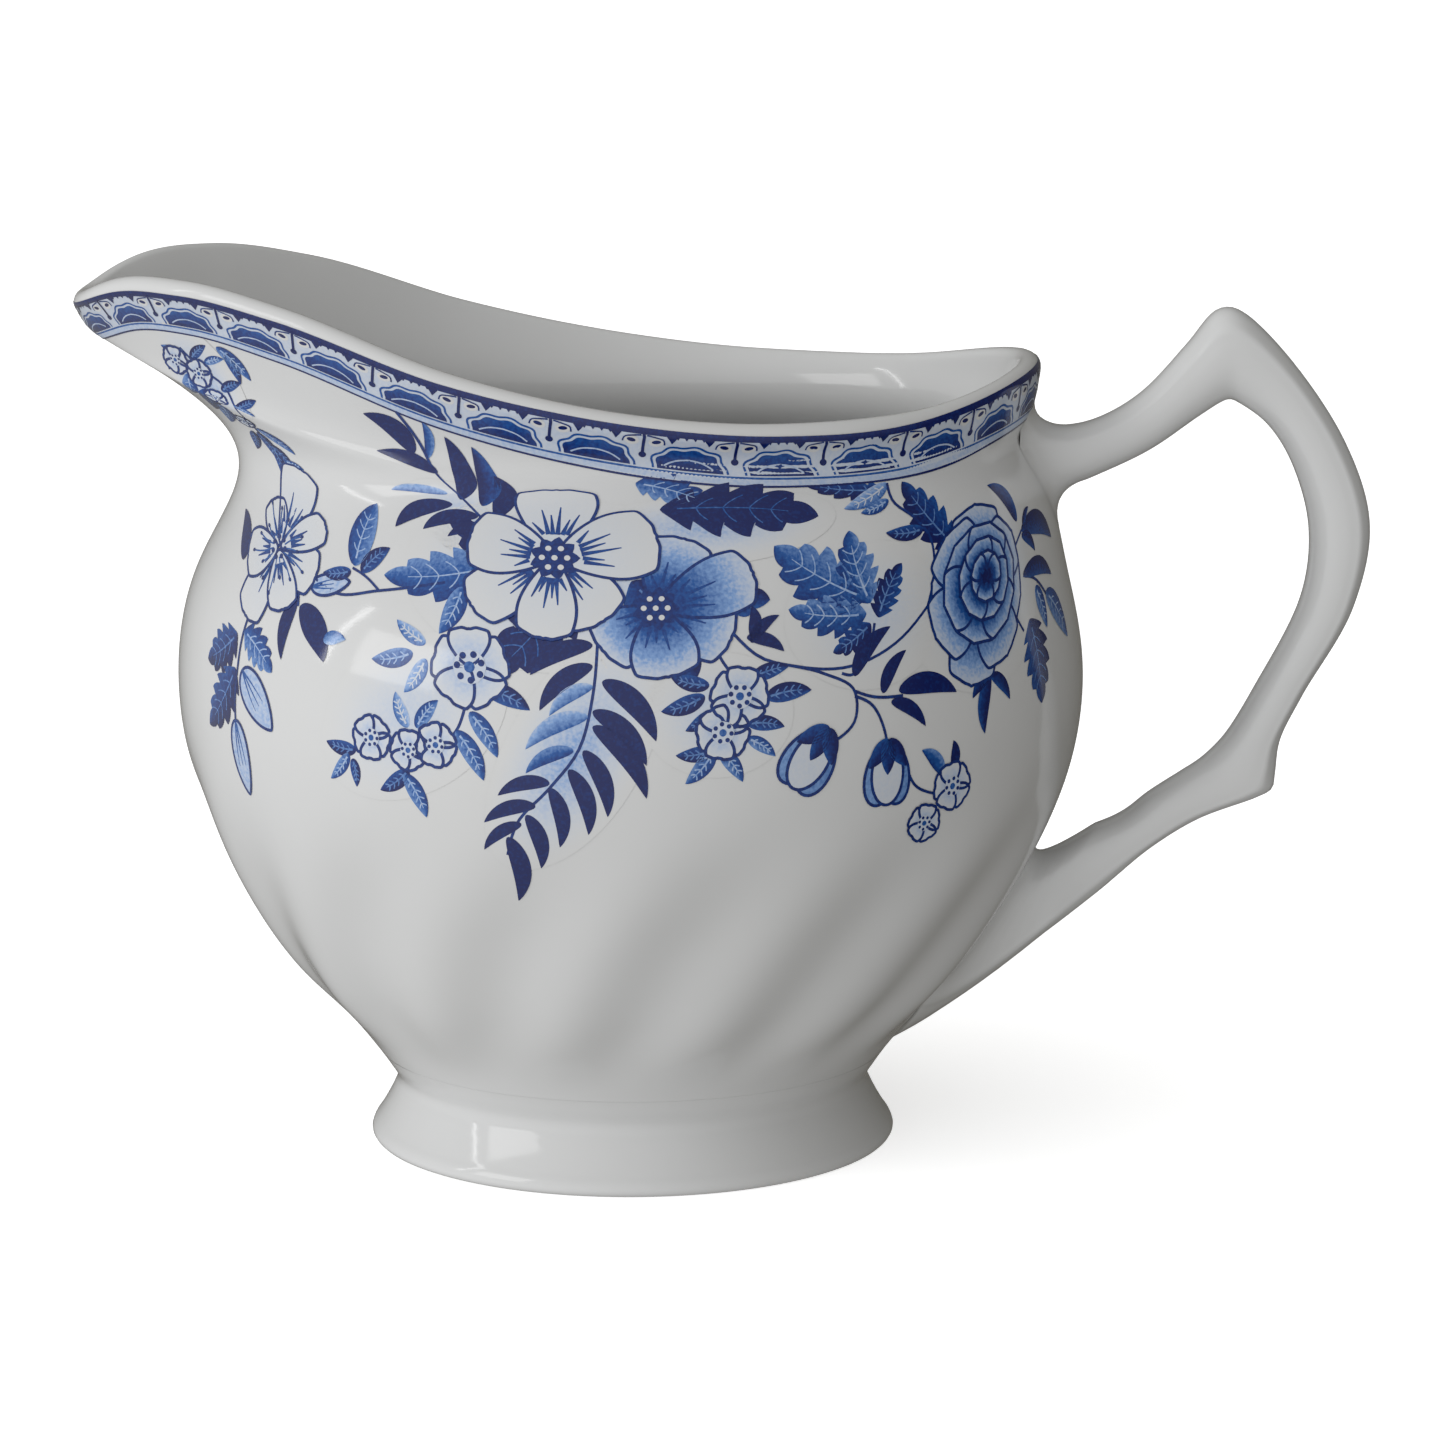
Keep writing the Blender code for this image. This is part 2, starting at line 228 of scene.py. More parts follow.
VEINED_LEAVES = [
    (-31.5, 70, -29, 76, 0.26, COBALT), (-30.5, 69.5, -27, 72, 0.26, DARK),
    (-32, 69.5, -36, 69, 0.25, DARK), (-18, 69, -20.5, 64.5, 0.25, COBALT),
    (-23.5, 62.5, -28.5, 61.5, 0.25, COBALT), (-22, 63.5, -25.5, 65.5, 0.25, PALE),
    (-22, 62, -24.5, 58.5, 0.24, PALE), (-15.5, 59.5, -10.5, 57.5, 0.24, DARK),
    (-17, 57, -14, 52.5, 0.22, COBALT), (-18.5, 55, -15.5, 50, 0.22, COBALT),
    (-24, 55, -25.5, 58.5, 0.26, PALE), (-23, 55, -20.5, 58, 0.26, COBALT),
    (-30.5, 52, -34.5, 52.5, 0.25, DARK), (-31.5, 51.5, -34, 48.5, 0.22, COBALT),
    (-31, 51, -30.5, 48, 0.25, DARK), (-24, 50.5, -27.5, 48, 0.26, DARK),
    (-24.5, 50, -22, 45.5, 0.23, COBALT), (8, 60, 4, 61, 0.25, DARK),
    (7.5, 59, 3, 57.5, 0.25, DARK), (8.5, 57.5, 5.5, 55.5, 0.25, DARK),
    (12.5, 60.5, 16.5, 61.5, 0.25, DARK), (14, 58.5, 19, 59, 0.25, DARK),
    (12, 56, 16, 55.5, 0.25, DARK), (12, 54.5, 15, 52.5, 0.24, COBALT),
    (8.5, 53.5, 4.5, 53, 0.25, DARK), (8.5, 53.5, 5.5, 50, 0.24, COBALT),
    (9, 53.5, 11.5, 50, 0.24, COBALT), (28.5, 78, 23, 76, 0.22, PALE),
    (28.5, 76.5, 25, 75.5, 0.25, COBALT), (33, 73.5, 28, 73.5, 0.22, DARK),
    (53.5, 65.5, 56, 61, 0.25, COBALT), (56.5, 64.5, 63, 59, 0.22, COBALT),
    (-47.5, 91, -45.5, 87.5, 0.2, DARK), (-48.5, 91.5, -44, 88, 0.17, COBALT),
    (-53.5, 90.5, -57, 91, 0.25, COBALT), (-46, 82, -44.5, 79, 0.22, DARK),
    (-52.5, 89.8, -50, 91.6, 0.25, DARK), (-53.5, 88, -54.5, 85.8, 0.25, COBALT),
    (-51, 86.5, -52.5, 84, 0.25, DARK), (-48.5, 86.5, -45.5, 87.6, 0.25, DARK),
    (-49.5, 84.8, -51.2, 82.6, 0.25, COBALT), (-47, 82, -48.5, 79.8, 0.25, DARK),
    (-46.5, 84.8, -43.6, 85.8, 0.25, DARK), (-44.8, 80.8, -41.8, 78.2, 0.22, DARK),
    (-44.5, 80.5, -44.2, 77, 0.2, DARK), (-50.5, 89.5, -47.6, 90.2, 0.22, COBALT),
    (-55.5, 90, -56.5, 88.2, 0.25, DARK), (-43, 79, -39.8, 78.4, 0.2, COBALT),
    (-45.5, 82.5, -40.5, 80, 0.2, COBALT), (-47, 85, -44, 84, 0.25, COBALT),
]
TOOTHED_LEAVES = [
    (-13, 71.5, -27.5, 69.5, 0.2, COBALT), (25.5, 67.5, 15, 73, 0.26, COBALT),
    (25.5, 66, 16.5, 67, 0.24, COBALT), (26, 67, 23.5, 74, 0.26, COBALT),
    (27, 65.5, 30, 70.5, 0.26, DARK), (26, 65, 21.5, 62.5, 0.26, DARK),
    (37.5, 71.5, 30.5, 78, 0.2, DARK), (28, 77.5, 18.5, 78.5, 0.12, DARK),
    (3, 76.5, 20, 75.5, 0.22, NAVY), (0.5, 79, 8, 77, 0.24, COBALT),
    (51.5, 62.5, 53.5, 53.5, 0.3, DARK), (-50, 61.5, -57, 58, 0.3, DARK),
    (-48.5, 62, -43, 58.5, 0.3, COBALT), (-50, 58, -56.5, 51, 0.26, DARK),
    (-6, 70, -20, 75.5, 0.2, NAVY), (-6, 70, -14.5, 61, 0.26, NAVY),
    (5, 68, 14.5, 68, 0.3, DARK), (0, 70, 6.5, 60.5, 0.28, DARK),
]
OUTLINE_LEAVES = [
    (-48.5, 58, -43, 52.5, 0.28), (-50, 52.5, -48, 44.5, 0.2),
    (-37.5, 67.5, -32, 68.5, 0.22),
]
STEMS = [
    [(-25.5, 86), (-22.5, 82), (-20, 78.5), (-17.5, 76.5), (-15, 74.5)],
    [(-3.5, 64), (-4, 59), (-5.5, 53.5), (-8.5, 49.5), (-12, 45.5), (-13, 42)],
    [(10.5, 65), (13.5, 62.5), (17, 61.5), (23.5, 61), (29.5, 63), (33.5, 66)],
    [(33.5, 66), (34.5, 69.5), (34, 72.5), (32, 74.5), (29, 76.5), (28.5, 78)],
    [(26.5, 65), (26, 63), (25, 61)],
    [(10.5, 65), (9, 63.5), (10, 61.5)],
    [(17, 61.5), (20.5, 60.5), (24, 58.5), (24, 55.5), (21.5, 53.5)],
    [(24, 58), (26, 57), (27.5, 54.5), (28, 52.5)],
    [(24, 58.5), (26, 57.8), (30, 57.5)],
    [(30.5, 50), (31.5, 48), (34.5, 46.5)],
    [(24.5, 61), (23.8, 60.2), (22.5, 60.4)],
    [(-17.5, 57.5), (-18.5, 55), (-20, 53.5)],
    [(-37.5, 68.5), (-34, 67.3), (-28, 68), (-20, 69.3)],
    [(-31.8, 69.8), (-30, 69.2), (-28, 68)],
    [(-41, 68.5), (-39.5, 66.8), (-39.3, 65.5)],
    [(-46.5, 66), (-49, 61), (-49.5, 58.5), (-50, 54.5), (-50, 52.5)],
    [(50.5, 71.5), (48, 69), (48, 64), (50, 61.5)],
    [(50.5, 67), (53.5, 66.3), (57, 64)],
    [(43, 62), (43.3, 60), (43, 58)],
    [(-54, 91), (-51.5, 89), (-48, 87), (-46.5, 84), (-45.5, 81.5)],
    [(-29.5, 53.5), (-30.5, 52), (-32, 52)],
    [(-21.5, 53), (-23.5, 51.5), (-24.5, 50)],
]
# Flowers: the place of the middle, then direction, length and half width of each petal.
LARGE_FLOWER = (-8, 72)
LARGE_PETALS = [
    (89, 12.5, 4.9), (15, 12, 5), (-55, 9.8, 3.9),
    (-97, 10.3, 3.5), (-146, 11.8, 3.6), (165, 10.5, 4.3),
]
SECOND_FLOWER = (2.5, 67.5)
SECOND_PETALS = [
    (70, 9.6, 3.9), (20, 11.8, 4), (-25, 9.4, 3.6),
    (-80, 8.2, 3.9), (-140, 7.8, 3.6),
]
OUTLINE_FLOWER = (-44, 70.5)
OUTLINE_PETALS = [
    (70, 11.6, 3.6), (25, 9.2, 2.2), (-18, 8, 3.1),
    (-70, 7.6, 2.8), (-120, 10.2, 3), (-165, 7.2, 3), (115, 6, 2.6),
]
BLOSSOMS = [
    (-17, 61.5, 4.6, 20), (-28.5, 53.5, 2.5, 50), (-24, 52.6, 2.3, 15), (-20.8, 53.4, 2.5, 40),
    (11.2, 58.8, 3.3, 10), (9.4, 55.2, 3, 45), (37, 47, 2.9, 30), (33.2, 43.3, 2.4, 5),
    (-55, 89.5, 2, 20), (-51.6, 88.2, 2, 50), (-49.6, 85.6, 1.9, 10), (-47, 83.2, 1.7, 35),
]
BUDS = [(18.8, 51.8, 3.4, 235), (28, 49.4, 3.3, 268)]
ROSE = (41.5, 66.8)
ROSE_PETALS = [
    (92, 9.6, 4.6), (38, 8.8, 4.2), (-12, 8.8, 4.2), (-58, 9.4, 4.2),
    (-100, 10.6, 4.2), (-148, 8.6, 4.4), (168, 8, 4.2), (130, 8.8, 4.4),
]
# Rounds of petals inside: aside and above the middle, size, and how dark the wash is.
ROSE_ROUNDS = [(0.5, 0.6, 6.6, 1.35), (1, 1, 4.6, 1.25), (1.2, 1.2, 2.8, 1.1)]
GLOWS = [
    (-8, 70.5, 17, 11, 0.3, 0), (-6, 53, 14.5, 7, 0.34, 60), (-18.5, 76, 7.5, 5, 0.2, -50),
    (9, 57, 8, 6.5, 0.2, 0), (42, 67, 12, 11, 0.24, 0), (-51, 87, 9, 5, 0.3, -55),
    (8, 75, 14, 5, 0.3, 0), (-24, 56, 12, 8, 0.16, 30), (26, 66, 10, 8, 0.16, 0),
]

# Border under the lip. Depths are in millimetres below the lip's outer edge, square to the rim,
# and the whole border is then raised on to the lip, less so at the spout.
BORDER_UNITS = 29
BORDER_SHIFT = 216.8
BORDER_RAISE = 1.2
BORDER_RAISE_LOSS = 0.45
BORDER_SPACING = 0.45
BORDER_TOP = (0.15, 0.85)
BORDER_STRIPE = (5.05, 5.3)
BORDER_BOTTOM = (6.0, 6.25)
BORDER_GROUND = 0.16
STRIPE_GROUND = 0.24
# One repeat of the border: a stem, an eye and a hook on each side of it, and hanging teeth
# given by half width, top and tip. Places along the border are shares of the repeat.
STEM_DEPTHS = (0.6, 3.5)
STEM_HALF_WIDTH = 0.17
STEM_END = (0.42, 0.38)
EYE_PLACE = 0.135
EYE_DEPTH = 1.7
EYE_SIZE = (0.85, 0.62)
EYE_SEED = (0.5, 0.26)
EYE_TILT = 12
HOOK = [(0.03, 0.95), (0.12, 1.1), (0.21, 1.4), (0.225, 2.0)]
HOOK_LINE = 0.09
CUSP_PLACE = 0.3
CUSP = (0.75, 0.6, 1.75)
SCALLOP_PLACES = (0.36, 0.453, 0.546, 0.639)
SCALLOP = (0.32, 0.65, 1.15)
# Half-moon fan between two stems: the swelling of its scalloped edge and its outer line.
FAN_TOP = 2.45
FAN_FOOT = 4.9
FAN_HALF = 0.355
FAN_LOBES = 9
FAN_SWELL = 0.05
FAN_TONES = (0.72, 0.24)
HALO_GAIN = 1.13
HALO_RISE = 0.42
HALO_LINE = 0.13
HALO_TONE = 0.72

# Camera and light. Lights are azimuth, elevation, distance, width, height and power.
CAMERA_LENS = 136.2
CAMERA_BACK = -0.600
CAMERA_HEIGHT = 0.16272
CAMERA_TILT = 10.935
CAMERA_TURN = -0.969
LIGHT_AIM_HEIGHT = 0.05
LIGHTS = {
    "window": (-83, 27, 1.2, 0.03, 0.55, 0.42),
    "panel": (-62, 24, 1.2, 0.5, 0.42, 1.8),
}
SOFT_LIGHT_FROM = (-0.75, -0.65, 0.14)
ROOM_DIM = (0.125, 0.118, 0.102, 1.0)
ROOM_BRIGHT = (1.36, 1.37, 1.39, 1.0)
FLOOR_REACH = 8.0
FLOOR_GLOW = 0.6


def smooth_curve(position, knots, values):
    """Read a smooth curve through the knots, with its slope at each knot set by its neighbours."""
    knots = np.asarray(knots, dtype=float)
    values = np.asarray(values, dtype=float)
    gaps = np.diff(knots)
    rises = np.diff(values) / gaps
    slopes = np.empty(len(knots))
    slopes[1:-1] = (rises[:-1] * gaps[1:] + rises[1:] * gaps[:-1]) / (gaps[:-1] + gaps[1:])
    slopes[0] = 1.5 * rises[0] - 0.5 * slopes[1]
    slopes[-1] = 1.5 * rises[-1] - 0.5 * slopes[-2]
    position = np.clip(position, knots[0], knots[-1])
    span = np.clip(np.searchsorted(knots, position) - 1, 0, len(gaps) - 1)
    step = (position - knots[span]) / gaps[span]
    start = values[span] * (1 + 2 * step) * (1 - step) ** 2
    start_slope = slopes[span] * gaps[span] * step * (1 - step) ** 2
    end = values[span + 1] * step ** 2 * (3 - 2 * step)
    end_slope = slopes[span + 1] * gaps[span] * step ** 2 * (step - 1)
    return start + start_slope + end + end_slope


def smooth_path(points, count):
    """Points spread evenly along a smooth curve through the given ones."""
    points = np.asarray(points, dtype=float)
    steps = np.linalg.norm(np.diff(points[:, :2], axis=0), axis=1)
    travel = np.concatenate([[0.0], np.cumsum(steps)])
    places = np.linspace(0, travel[-1], count)
    return np.stack([smooth_curve(places, travel, column) for column in points.T], axis=-1)


def ease(value):
    value = np.clip(value, 0, 1)
    return value * value * (3 - 2 * value)


def unit(vectors):
    return vectors / np.linalg.norm(vectors, axis=-1, keepdims=True)


def hoop_outline(angles, back, spout, half_width, pinch):
    """Plan of one hoop: angle 0 points at the handle, half a turn at the spout."""
    x = (back - spout) / 2 + (back + spout) / 2 * np.cos(angles)
    narrowing = 1 - pinch * ((1 - np.cos(angles)) / 2) ** PINCH_POWER
    return x, half_width * np.sin(angles) * narrowing


def control_hoop(row, angles):
    side_height, back, spout, half_width, pinch, back_height, spout_height = row
    x, y = hoop_outline(angles, back, spout, half_width, pinch)
    towards_back = np.clip(np.cos(angles), 0, 1) ** 2
    towards_spout = np.clip(-np.cos(angles), 0, 1) ** 2
    z = side_height + (back_height - side_height) * towards_back
    z = z + (spout_height - side_height) * towards_spout
    return np.stack([x, y, z], axis=-1)


def rim_hoop(angles):
    x, y = hoop_outline(angles, RIM_BACK, RIM_SPOUT, RIM_HALF_WIDTH, RIM_PINCH)
    places, heights = zip(*RIM_HEIGHTS)
    return np.stack([x, y, smooth_curve(x, places, heights)], axis=-1)


def plain_skin(angles, rise):
    """Skin points without flutes for arrays of angle and rise (0 at the waist, 1 at the rim)."""
    angles, rise = np.broadcast_arrays(angles, rise)
    turn = angles.ravel()
    hoops = [control_hoop(row, turn) for row in CONTROL_RINGS]
    hoops.append(rim_hoop(turn))
    spans = len(hoops) - 1
    hoops.insert(0, 2 * hoops[0] - hoops[1])
    hoops.append(2 * hoops[-1] - hoops[-2])
    hoops = np.array(hoops)
    place = np.clip(rise.ravel(), 0, 1) * spans
    first = np.minimum(place.astype(int), spans - 1)
    t = (place - first)[:, None]
    weights = (
        (1 - t) ** 3 / 6,
        (3 * t ** 3 - 6 * t ** 2 + 4) / 6,
        (-3 * t ** 3 + 3 * t ** 2 + 3 * t + 1) / 6,
        t ** 3 / 6,
    )
    each = np.arange(len(turn))
    points = sum(weight * hoops[first + offset, each] for offset, weight in enumerate(weights))
    return points.reshape(angles.shape + (3,))


def skin_normals(angles, rise, fluted=False):
    """Outward unit normals of the skin, from small steps to each side."""
    step = 0.002
    skin = fluted_skin if fluted else plain_skin
    around = skin(angles + step, rise) - skin(angles - step, rise)
    up = skin(angles, np.clip(rise + step, 0, 1)) - skin(angles, np.clip(rise - step, 0, 1))
    return unit(np.cross(around, up))


def flute_wave(angles, heights):
    """Depth of the swirl flutes, fading out at the waist and up the belly."""
    above = heights - FLUTE_FOOT_HEIGHT
    middle = (FLUTE_TOP_HEIGHT - FLUTE_FADE_HEIGHT) / 2
    fade = ease((heights - FLUTE_FADE_HEIGHT) / (middle / 2))
    fade = fade * ease((FLUTE_TOP_HEIGHT - heights) / middle)
    twist = FLUTE_TWIST * above
    return -FLUTE_DEPTH * fade * np.cos(FLUTE_COUNT * (angles - twist))


def fluted_skin(angles, rise, lift=0.0):
    points = plain_skin(angles, rise)
    wave = flute_wave(angles, points[..., 2]) + lift
    return points + skin_normals(angles, rise) * wave[..., None]


# ---------------------------------------------------------------- meshes
def grid_faces(rows, columns, closed):
    """Quads of a grid of rows by columns; closed joins the last column to the first."""
    row, column = np.meshgrid(np.arange(rows - 1), np.arange(columns if closed else columns - 1))
    row, column = row.ravel(), column.ravel()
    beside = (column + 1) % columns
    corners = [row * columns + column, row * columns + beside]
    corners += [(row + 1) * columns + beside, (row + 1) * columns + column]
    return np.stack(corners, axis=-1)


def object_from_points(name, points, faces, material, origin):
    """Smooth-shaded object from points in millimetres about the foot's axis."""
    mesh = bpy.data.meshes.new(name)
    mesh.from_pydata((np.asarray(points) * MM + origin).tolist(), [], faces)
    mesh.update()
    mesh.shade_smooth()
    mesh.materials.append(material)
    thing = bpy.data.objects.new(name, mesh)
    bpy.context.scene.collection.objects.link(thing)
    return thing


def circle_angles(count):
    return np.linspace(0, 2 * math.pi, count, endpoint=False)


def body_hoops():
    angles = circle_angles(BODY_TURNS)
    rise = np.linspace(0, SKIN_TOP, OUTER_ROWS)[:, None]
    outer = fluted_skin(angles[None, :], rise)
    inner_rise = np.linspace(SKIN_TOP, 0, INNER_ROWS)[:, None]
    wall = WALL_AT_BELLY + (WALL_AT_LIP - WALL_AT_BELLY) * ease(2 * inner_rise - 1)
    skin = plain_skin(angles[None, :], inner_rise)
    inner = skin - skin_normals(angles[None, :], inner_rise) * wall[..., None]
    inner = inner[inner[:, :, 2].min(axis=1) > FLOOR_HEIGHT + FLOOR_CORNER]
    middle = (outer[-1] + inner[0]) / 2
    half = (outer[-1] - inner[0]) / 2
    upward = unit(outer[-1] - outer[-2])
    lip = []
    for turn in np.linspace(0, math.pi, LIP_ROWS + 2)[1:-1]:
        reach = np.linalg.norm(half, axis=-1, keepdims=True)
        lip.append(middle + half * math.cos(turn) + upward * reach * math.sin(turn))
    foot_of_wall = inner[-1]
    radius = np.linalg.norm(foot_of_wall[:, :2], axis=1).mean()
    slope = unit(inner[-1] - inner[-2])
    corner = foot_of_wall + slope * ((foot_of_wall[:, 2:3] - FLOOR_HEIGHT) / -slope[:, 2:3])
    floor_edge = foot_of_wall * (radius - FLOOR_CORNER * 2) / radius
    floor_edge[:, 2] = FLOOR_HEIGHT
    bend = []
    for t in np.linspace(0, 1, FLOOR_ROWS + 1)[1:]:
        bend.append((1 - t) ** 2 * foot_of_wall + 2 * t * (1 - t) * corner + t * t * floor_edge)
    return np.array(list(outer) + lip + list(inner) + bend)


def make_body(material, origin):
    hoops = body_hoops()
    rows = len(hoops)
    faces = grid_faces(rows, BODY_TURNS, True).tolist()
    faces.append(list(range(BODY_TURNS))[::-1])
    faces.append([(rows - 1) * BODY_TURNS + column for column in range(BODY_TURNS)])
    return object_from_points("jug_body", hoops.reshape(-1, 3), faces, material, origin)


def make_foot(material, origin):
    profile = np.concatenate([smooth_path(FOOT_OUTSIDE, 44), smooth_path(FOOT_INSIDE, 20)])
    angles = circle_angles(FOOT_TURNS)
    radius, height = profile[:, :1], profile[:, 1:]
    hoops = [radius * np.cos(angles), radius * np.sin(angles), height + 0 * angles]
    points = np.stack(hoops, axis=-1)
    faces = grid_faces(len(profile), FOOT_TURNS, True)[:, ::-1].tolist()
    last = (len(profile) - 1) * FOOT_TURNS
    for column in range(FOOT_TURNS):
        beside = (column + 1) % FOOT_TURNS
        faces.append([column, beside, last + beside, last + column][::-1])
    return object_from_points("jug_foot", points.reshape(-1, 3), faces, material, origin)


class Skin:
    """Nearest place on the body's skin to any point near the handle."""

    def __init__(self):
        angles = np.linspace(-0.9, 0.9, 260)
        rise = np.linspace(0.02, 0.97, 320)
        grid = np.meshgrid(angles, rise)
        self.points = fluted_skin(*grid).reshape(-1, 3)
        self.normals = skin_normals(*grid, fluted=True).reshape(-1, 3)
        self.tree = kdtree.KDTree(len(self.points))
        for index, point in enumerate(self.points):
            self.tree.insert(Vector(point), index)
        self.tree.balance()

    def nearest(self, point):
        """Height above the skin, the foot of that height on the skin, and the normal there."""
        index = self.tree.find(Vector(point))[1]
        normal = self.normals[index]
        height = float(np.dot(point - self.points[index], normal))
        return height, point - height * normal, normal


def handle_lines():
    """Rounded sections along the loop: an array of section, place on the section, and x, y, z."""
    stations = np.array(HANDLE_STATIONS)
    middle = (stations[:, 0:2] + stations[:, 2:4]) / 2
    steps = np.sqrt(np.linalg.norm(np.diff(middle, axis=0), axis=-1))
    travel = np.concatenate([[0.0], np.cumsum(steps)])
    places = np.linspace(0, travel[-1], HANDLE_ROWS)
    columns = [smooth_curve(places, travel, column)[:, None] for column in stations.T]
    x_out, z_out, x_in, z_in, half_width = columns
    turn = circle_angles(HANDLE_SIDES)[None, :]
    along = np.sign(np.cos(turn)) * np.abs(np.cos(turn)) ** HANDLE_SECTION_POWER
    across = np.sign(np.sin(turn)) * np.abs(np.sin(turn)) ** HANDLE_SECTION_POWER
    from_ridge = np.abs(np.abs(np.angle(np.exp(1j * turn))) - HANDLE_RIDGE_TURN * math.pi / 2)
    ridge = 1 + HANDLE_RIDGE_HEIGHT * np.exp(-((from_ridge / HANDLE_RIDGE_SPREAD) ** 2))
    x = (x_out + x_in) / 2 + (x_out - x_in) / 2 * along
    z = (z_out + z_in) / 2 + (z_out - z_in) / 2 * along
    return np.stack([x, half_width * across * ridge, z], axis=-1)


def fillet(line, outward, skin, radius):
    """Curve from the tube, radius above the skin, down to the skin beside the tube."""
    heights = [skin.nearest(point)[0] for point in line]
    start = next(index for index, height in enumerate(heights) if height > radius)
    meet = next(index for index, height in enumerate(heights) if height > 0)
    share = heights[meet] / (heights[meet] - heights[meet - 1])
    corner = line[meet] + (line[meet - 1] - line[meet]) * share
    normal = skin.nearest(corner)[2]
    sideways = outward - np.dot(outward, normal) * normal
    sideways = sideways / np.linalg.norm(sideways)
    _, end, end_normal = skin.nearest(corner + sideways * radius)
    end = end + end_normal * FILLET_LIFT
    reach = (radius - heights[start - 1]) / (heights[start] - heights[start - 1])
    top = line[start - 1] + (line[start] - line[start - 1]) * reach
    curve = []
    for t in np.linspace(0, 1, FILLET_ROWS):
        curve.append(t * t * top + 2 * t * (1 - t) * corner + (1 - t) ** 2 * end)
    return np.array(curve), start


def resample(line, count):
    steps = np.linalg.norm(np.diff(line, axis=0), axis=1)
    travel = np.concatenate([[0.0], np.cumsum(steps)])
    places = np.linspace(0, travel[-1], count)
    return np.stack([np.interp(places, travel, column) for column in line.T], axis=-1)


def make_handle(material, origin):
    skin = Skin()
    lines = handle_lines()
    around = np.roll(lines, -1, axis=1) - np.roll(lines, 1, axis=1)
    outward = unit(np.cross(np.gradient(lines, axis=0), around))
    centre = lines.mean(axis=1, keepdims=True)
    outward *= np.sign((outward * (lines - centre)).sum(axis=-1, keepdims=True))
    columns = []
    middle = HANDLE_ROWS // 2
    for side in range(HANDLE_SIDES):
        line = lines[:, side]
        facing = outward[NECK_ROW, side]
        neck, neck_start = fillet(line[:middle], facing, skin, NECK_FILLET)
        facing = outward[BELLY_ROW, side]
        belly, belly_start = fillet(line[middle:][::-1], facing, skin, BELLY_FILLET)
        tube = line[neck_start:HANDLE_ROWS - belly_start]
        columns.append(np.concatenate([neck, tube, belly[::-1]]))
    count = max(len(column) for column in columns)
    points = np.stack([resample(column, count) for column in columns], axis=1)
    beside = np.roll(points, -1, axis=1) - np.roll(points, 1, axis=1)
    normals = unit(np.cross(beside, np.gradient(points, axis=0)))
    from_middle = points - points.mean(axis=1, keepdims=True)
    normals = normals * np.sign((normals * from_middle).sum())
    for end in (0, -1):
        normals[end] = [skin.nearest(point)[2] for point in points[end]]
    faces = grid_faces(count, HANDLE_SIDES, True)[:, ::-1].tolist()
    handle = object_from_points("jug_handle", points.reshape(-1, 3), faces, material, origin)
    handle.data.normals_split_custom_set_from_vertices(normals.reshape(-1, 3).tolist())
    return handle


# ---------------------------------------------------------------- chart of the skin for the print
def read_table(table, row, column):
    """Read a table between its entries."""
    row = np.clip(row, 0, table.shape[0] - 1.001)
    column = np.clip(column, 0, table.shape[1] - 1.001)
    r, c = row.astype(int), column.astype(int)
    down, along = row - r, column - c
    upper = table[r, c] * (1 - along) + table[r, c + 1] * along
    lower = table[r + 1, c] * (1 - along) + table[r + 1, c + 1] * along
    return upper * (1 - down) + lower * down


def running_length(points, axis):
    steps = np.linalg.norm(np.diff(points, axis=axis), axis=-1)
    start = np.zeros_like(np.take(steps, [0], axis=axis))
    return np.concatenate([start, np.cumsum(steps, axis=axis)], axis=axis)


def place_in(scale, values):
    """Fractional index of values on an even scale."""
    return (values - scale[0]) / (scale[1] - scale[0])


def towards_spout(angle):
    """0 round the belly and 1 at the spout."""
    return np.clip(-1.3 * np.cos(angle), 0, 1)


def printed_surface(angles, rise, roll, lift):
    """Points and normals of the glaze on the skin, and over the rounded lip where roll is set."""
    points = fluted_skin(angles, rise, lift)
    normals = skin_normals(angles, rise, fluted=True)
    outer = plain_skin(angles, SKIN_TOP)
    outward = skin_normals(angles, SKIN_TOP)
    upward = unit(outer - plain_skin(angles, SKIN_TOP - 0.005))
    turn = roll[:, None]
    over = outward * np.cos(turn) + upward * np.sin(turn)
    over_points = outer - outward * WALL_AT_LIP / 2 + over * (WALL_AT_LIP / 2 + lift)[:, None]
    return np.where(turn > 0, over_points, points), np.where(turn > 0, over, normals)


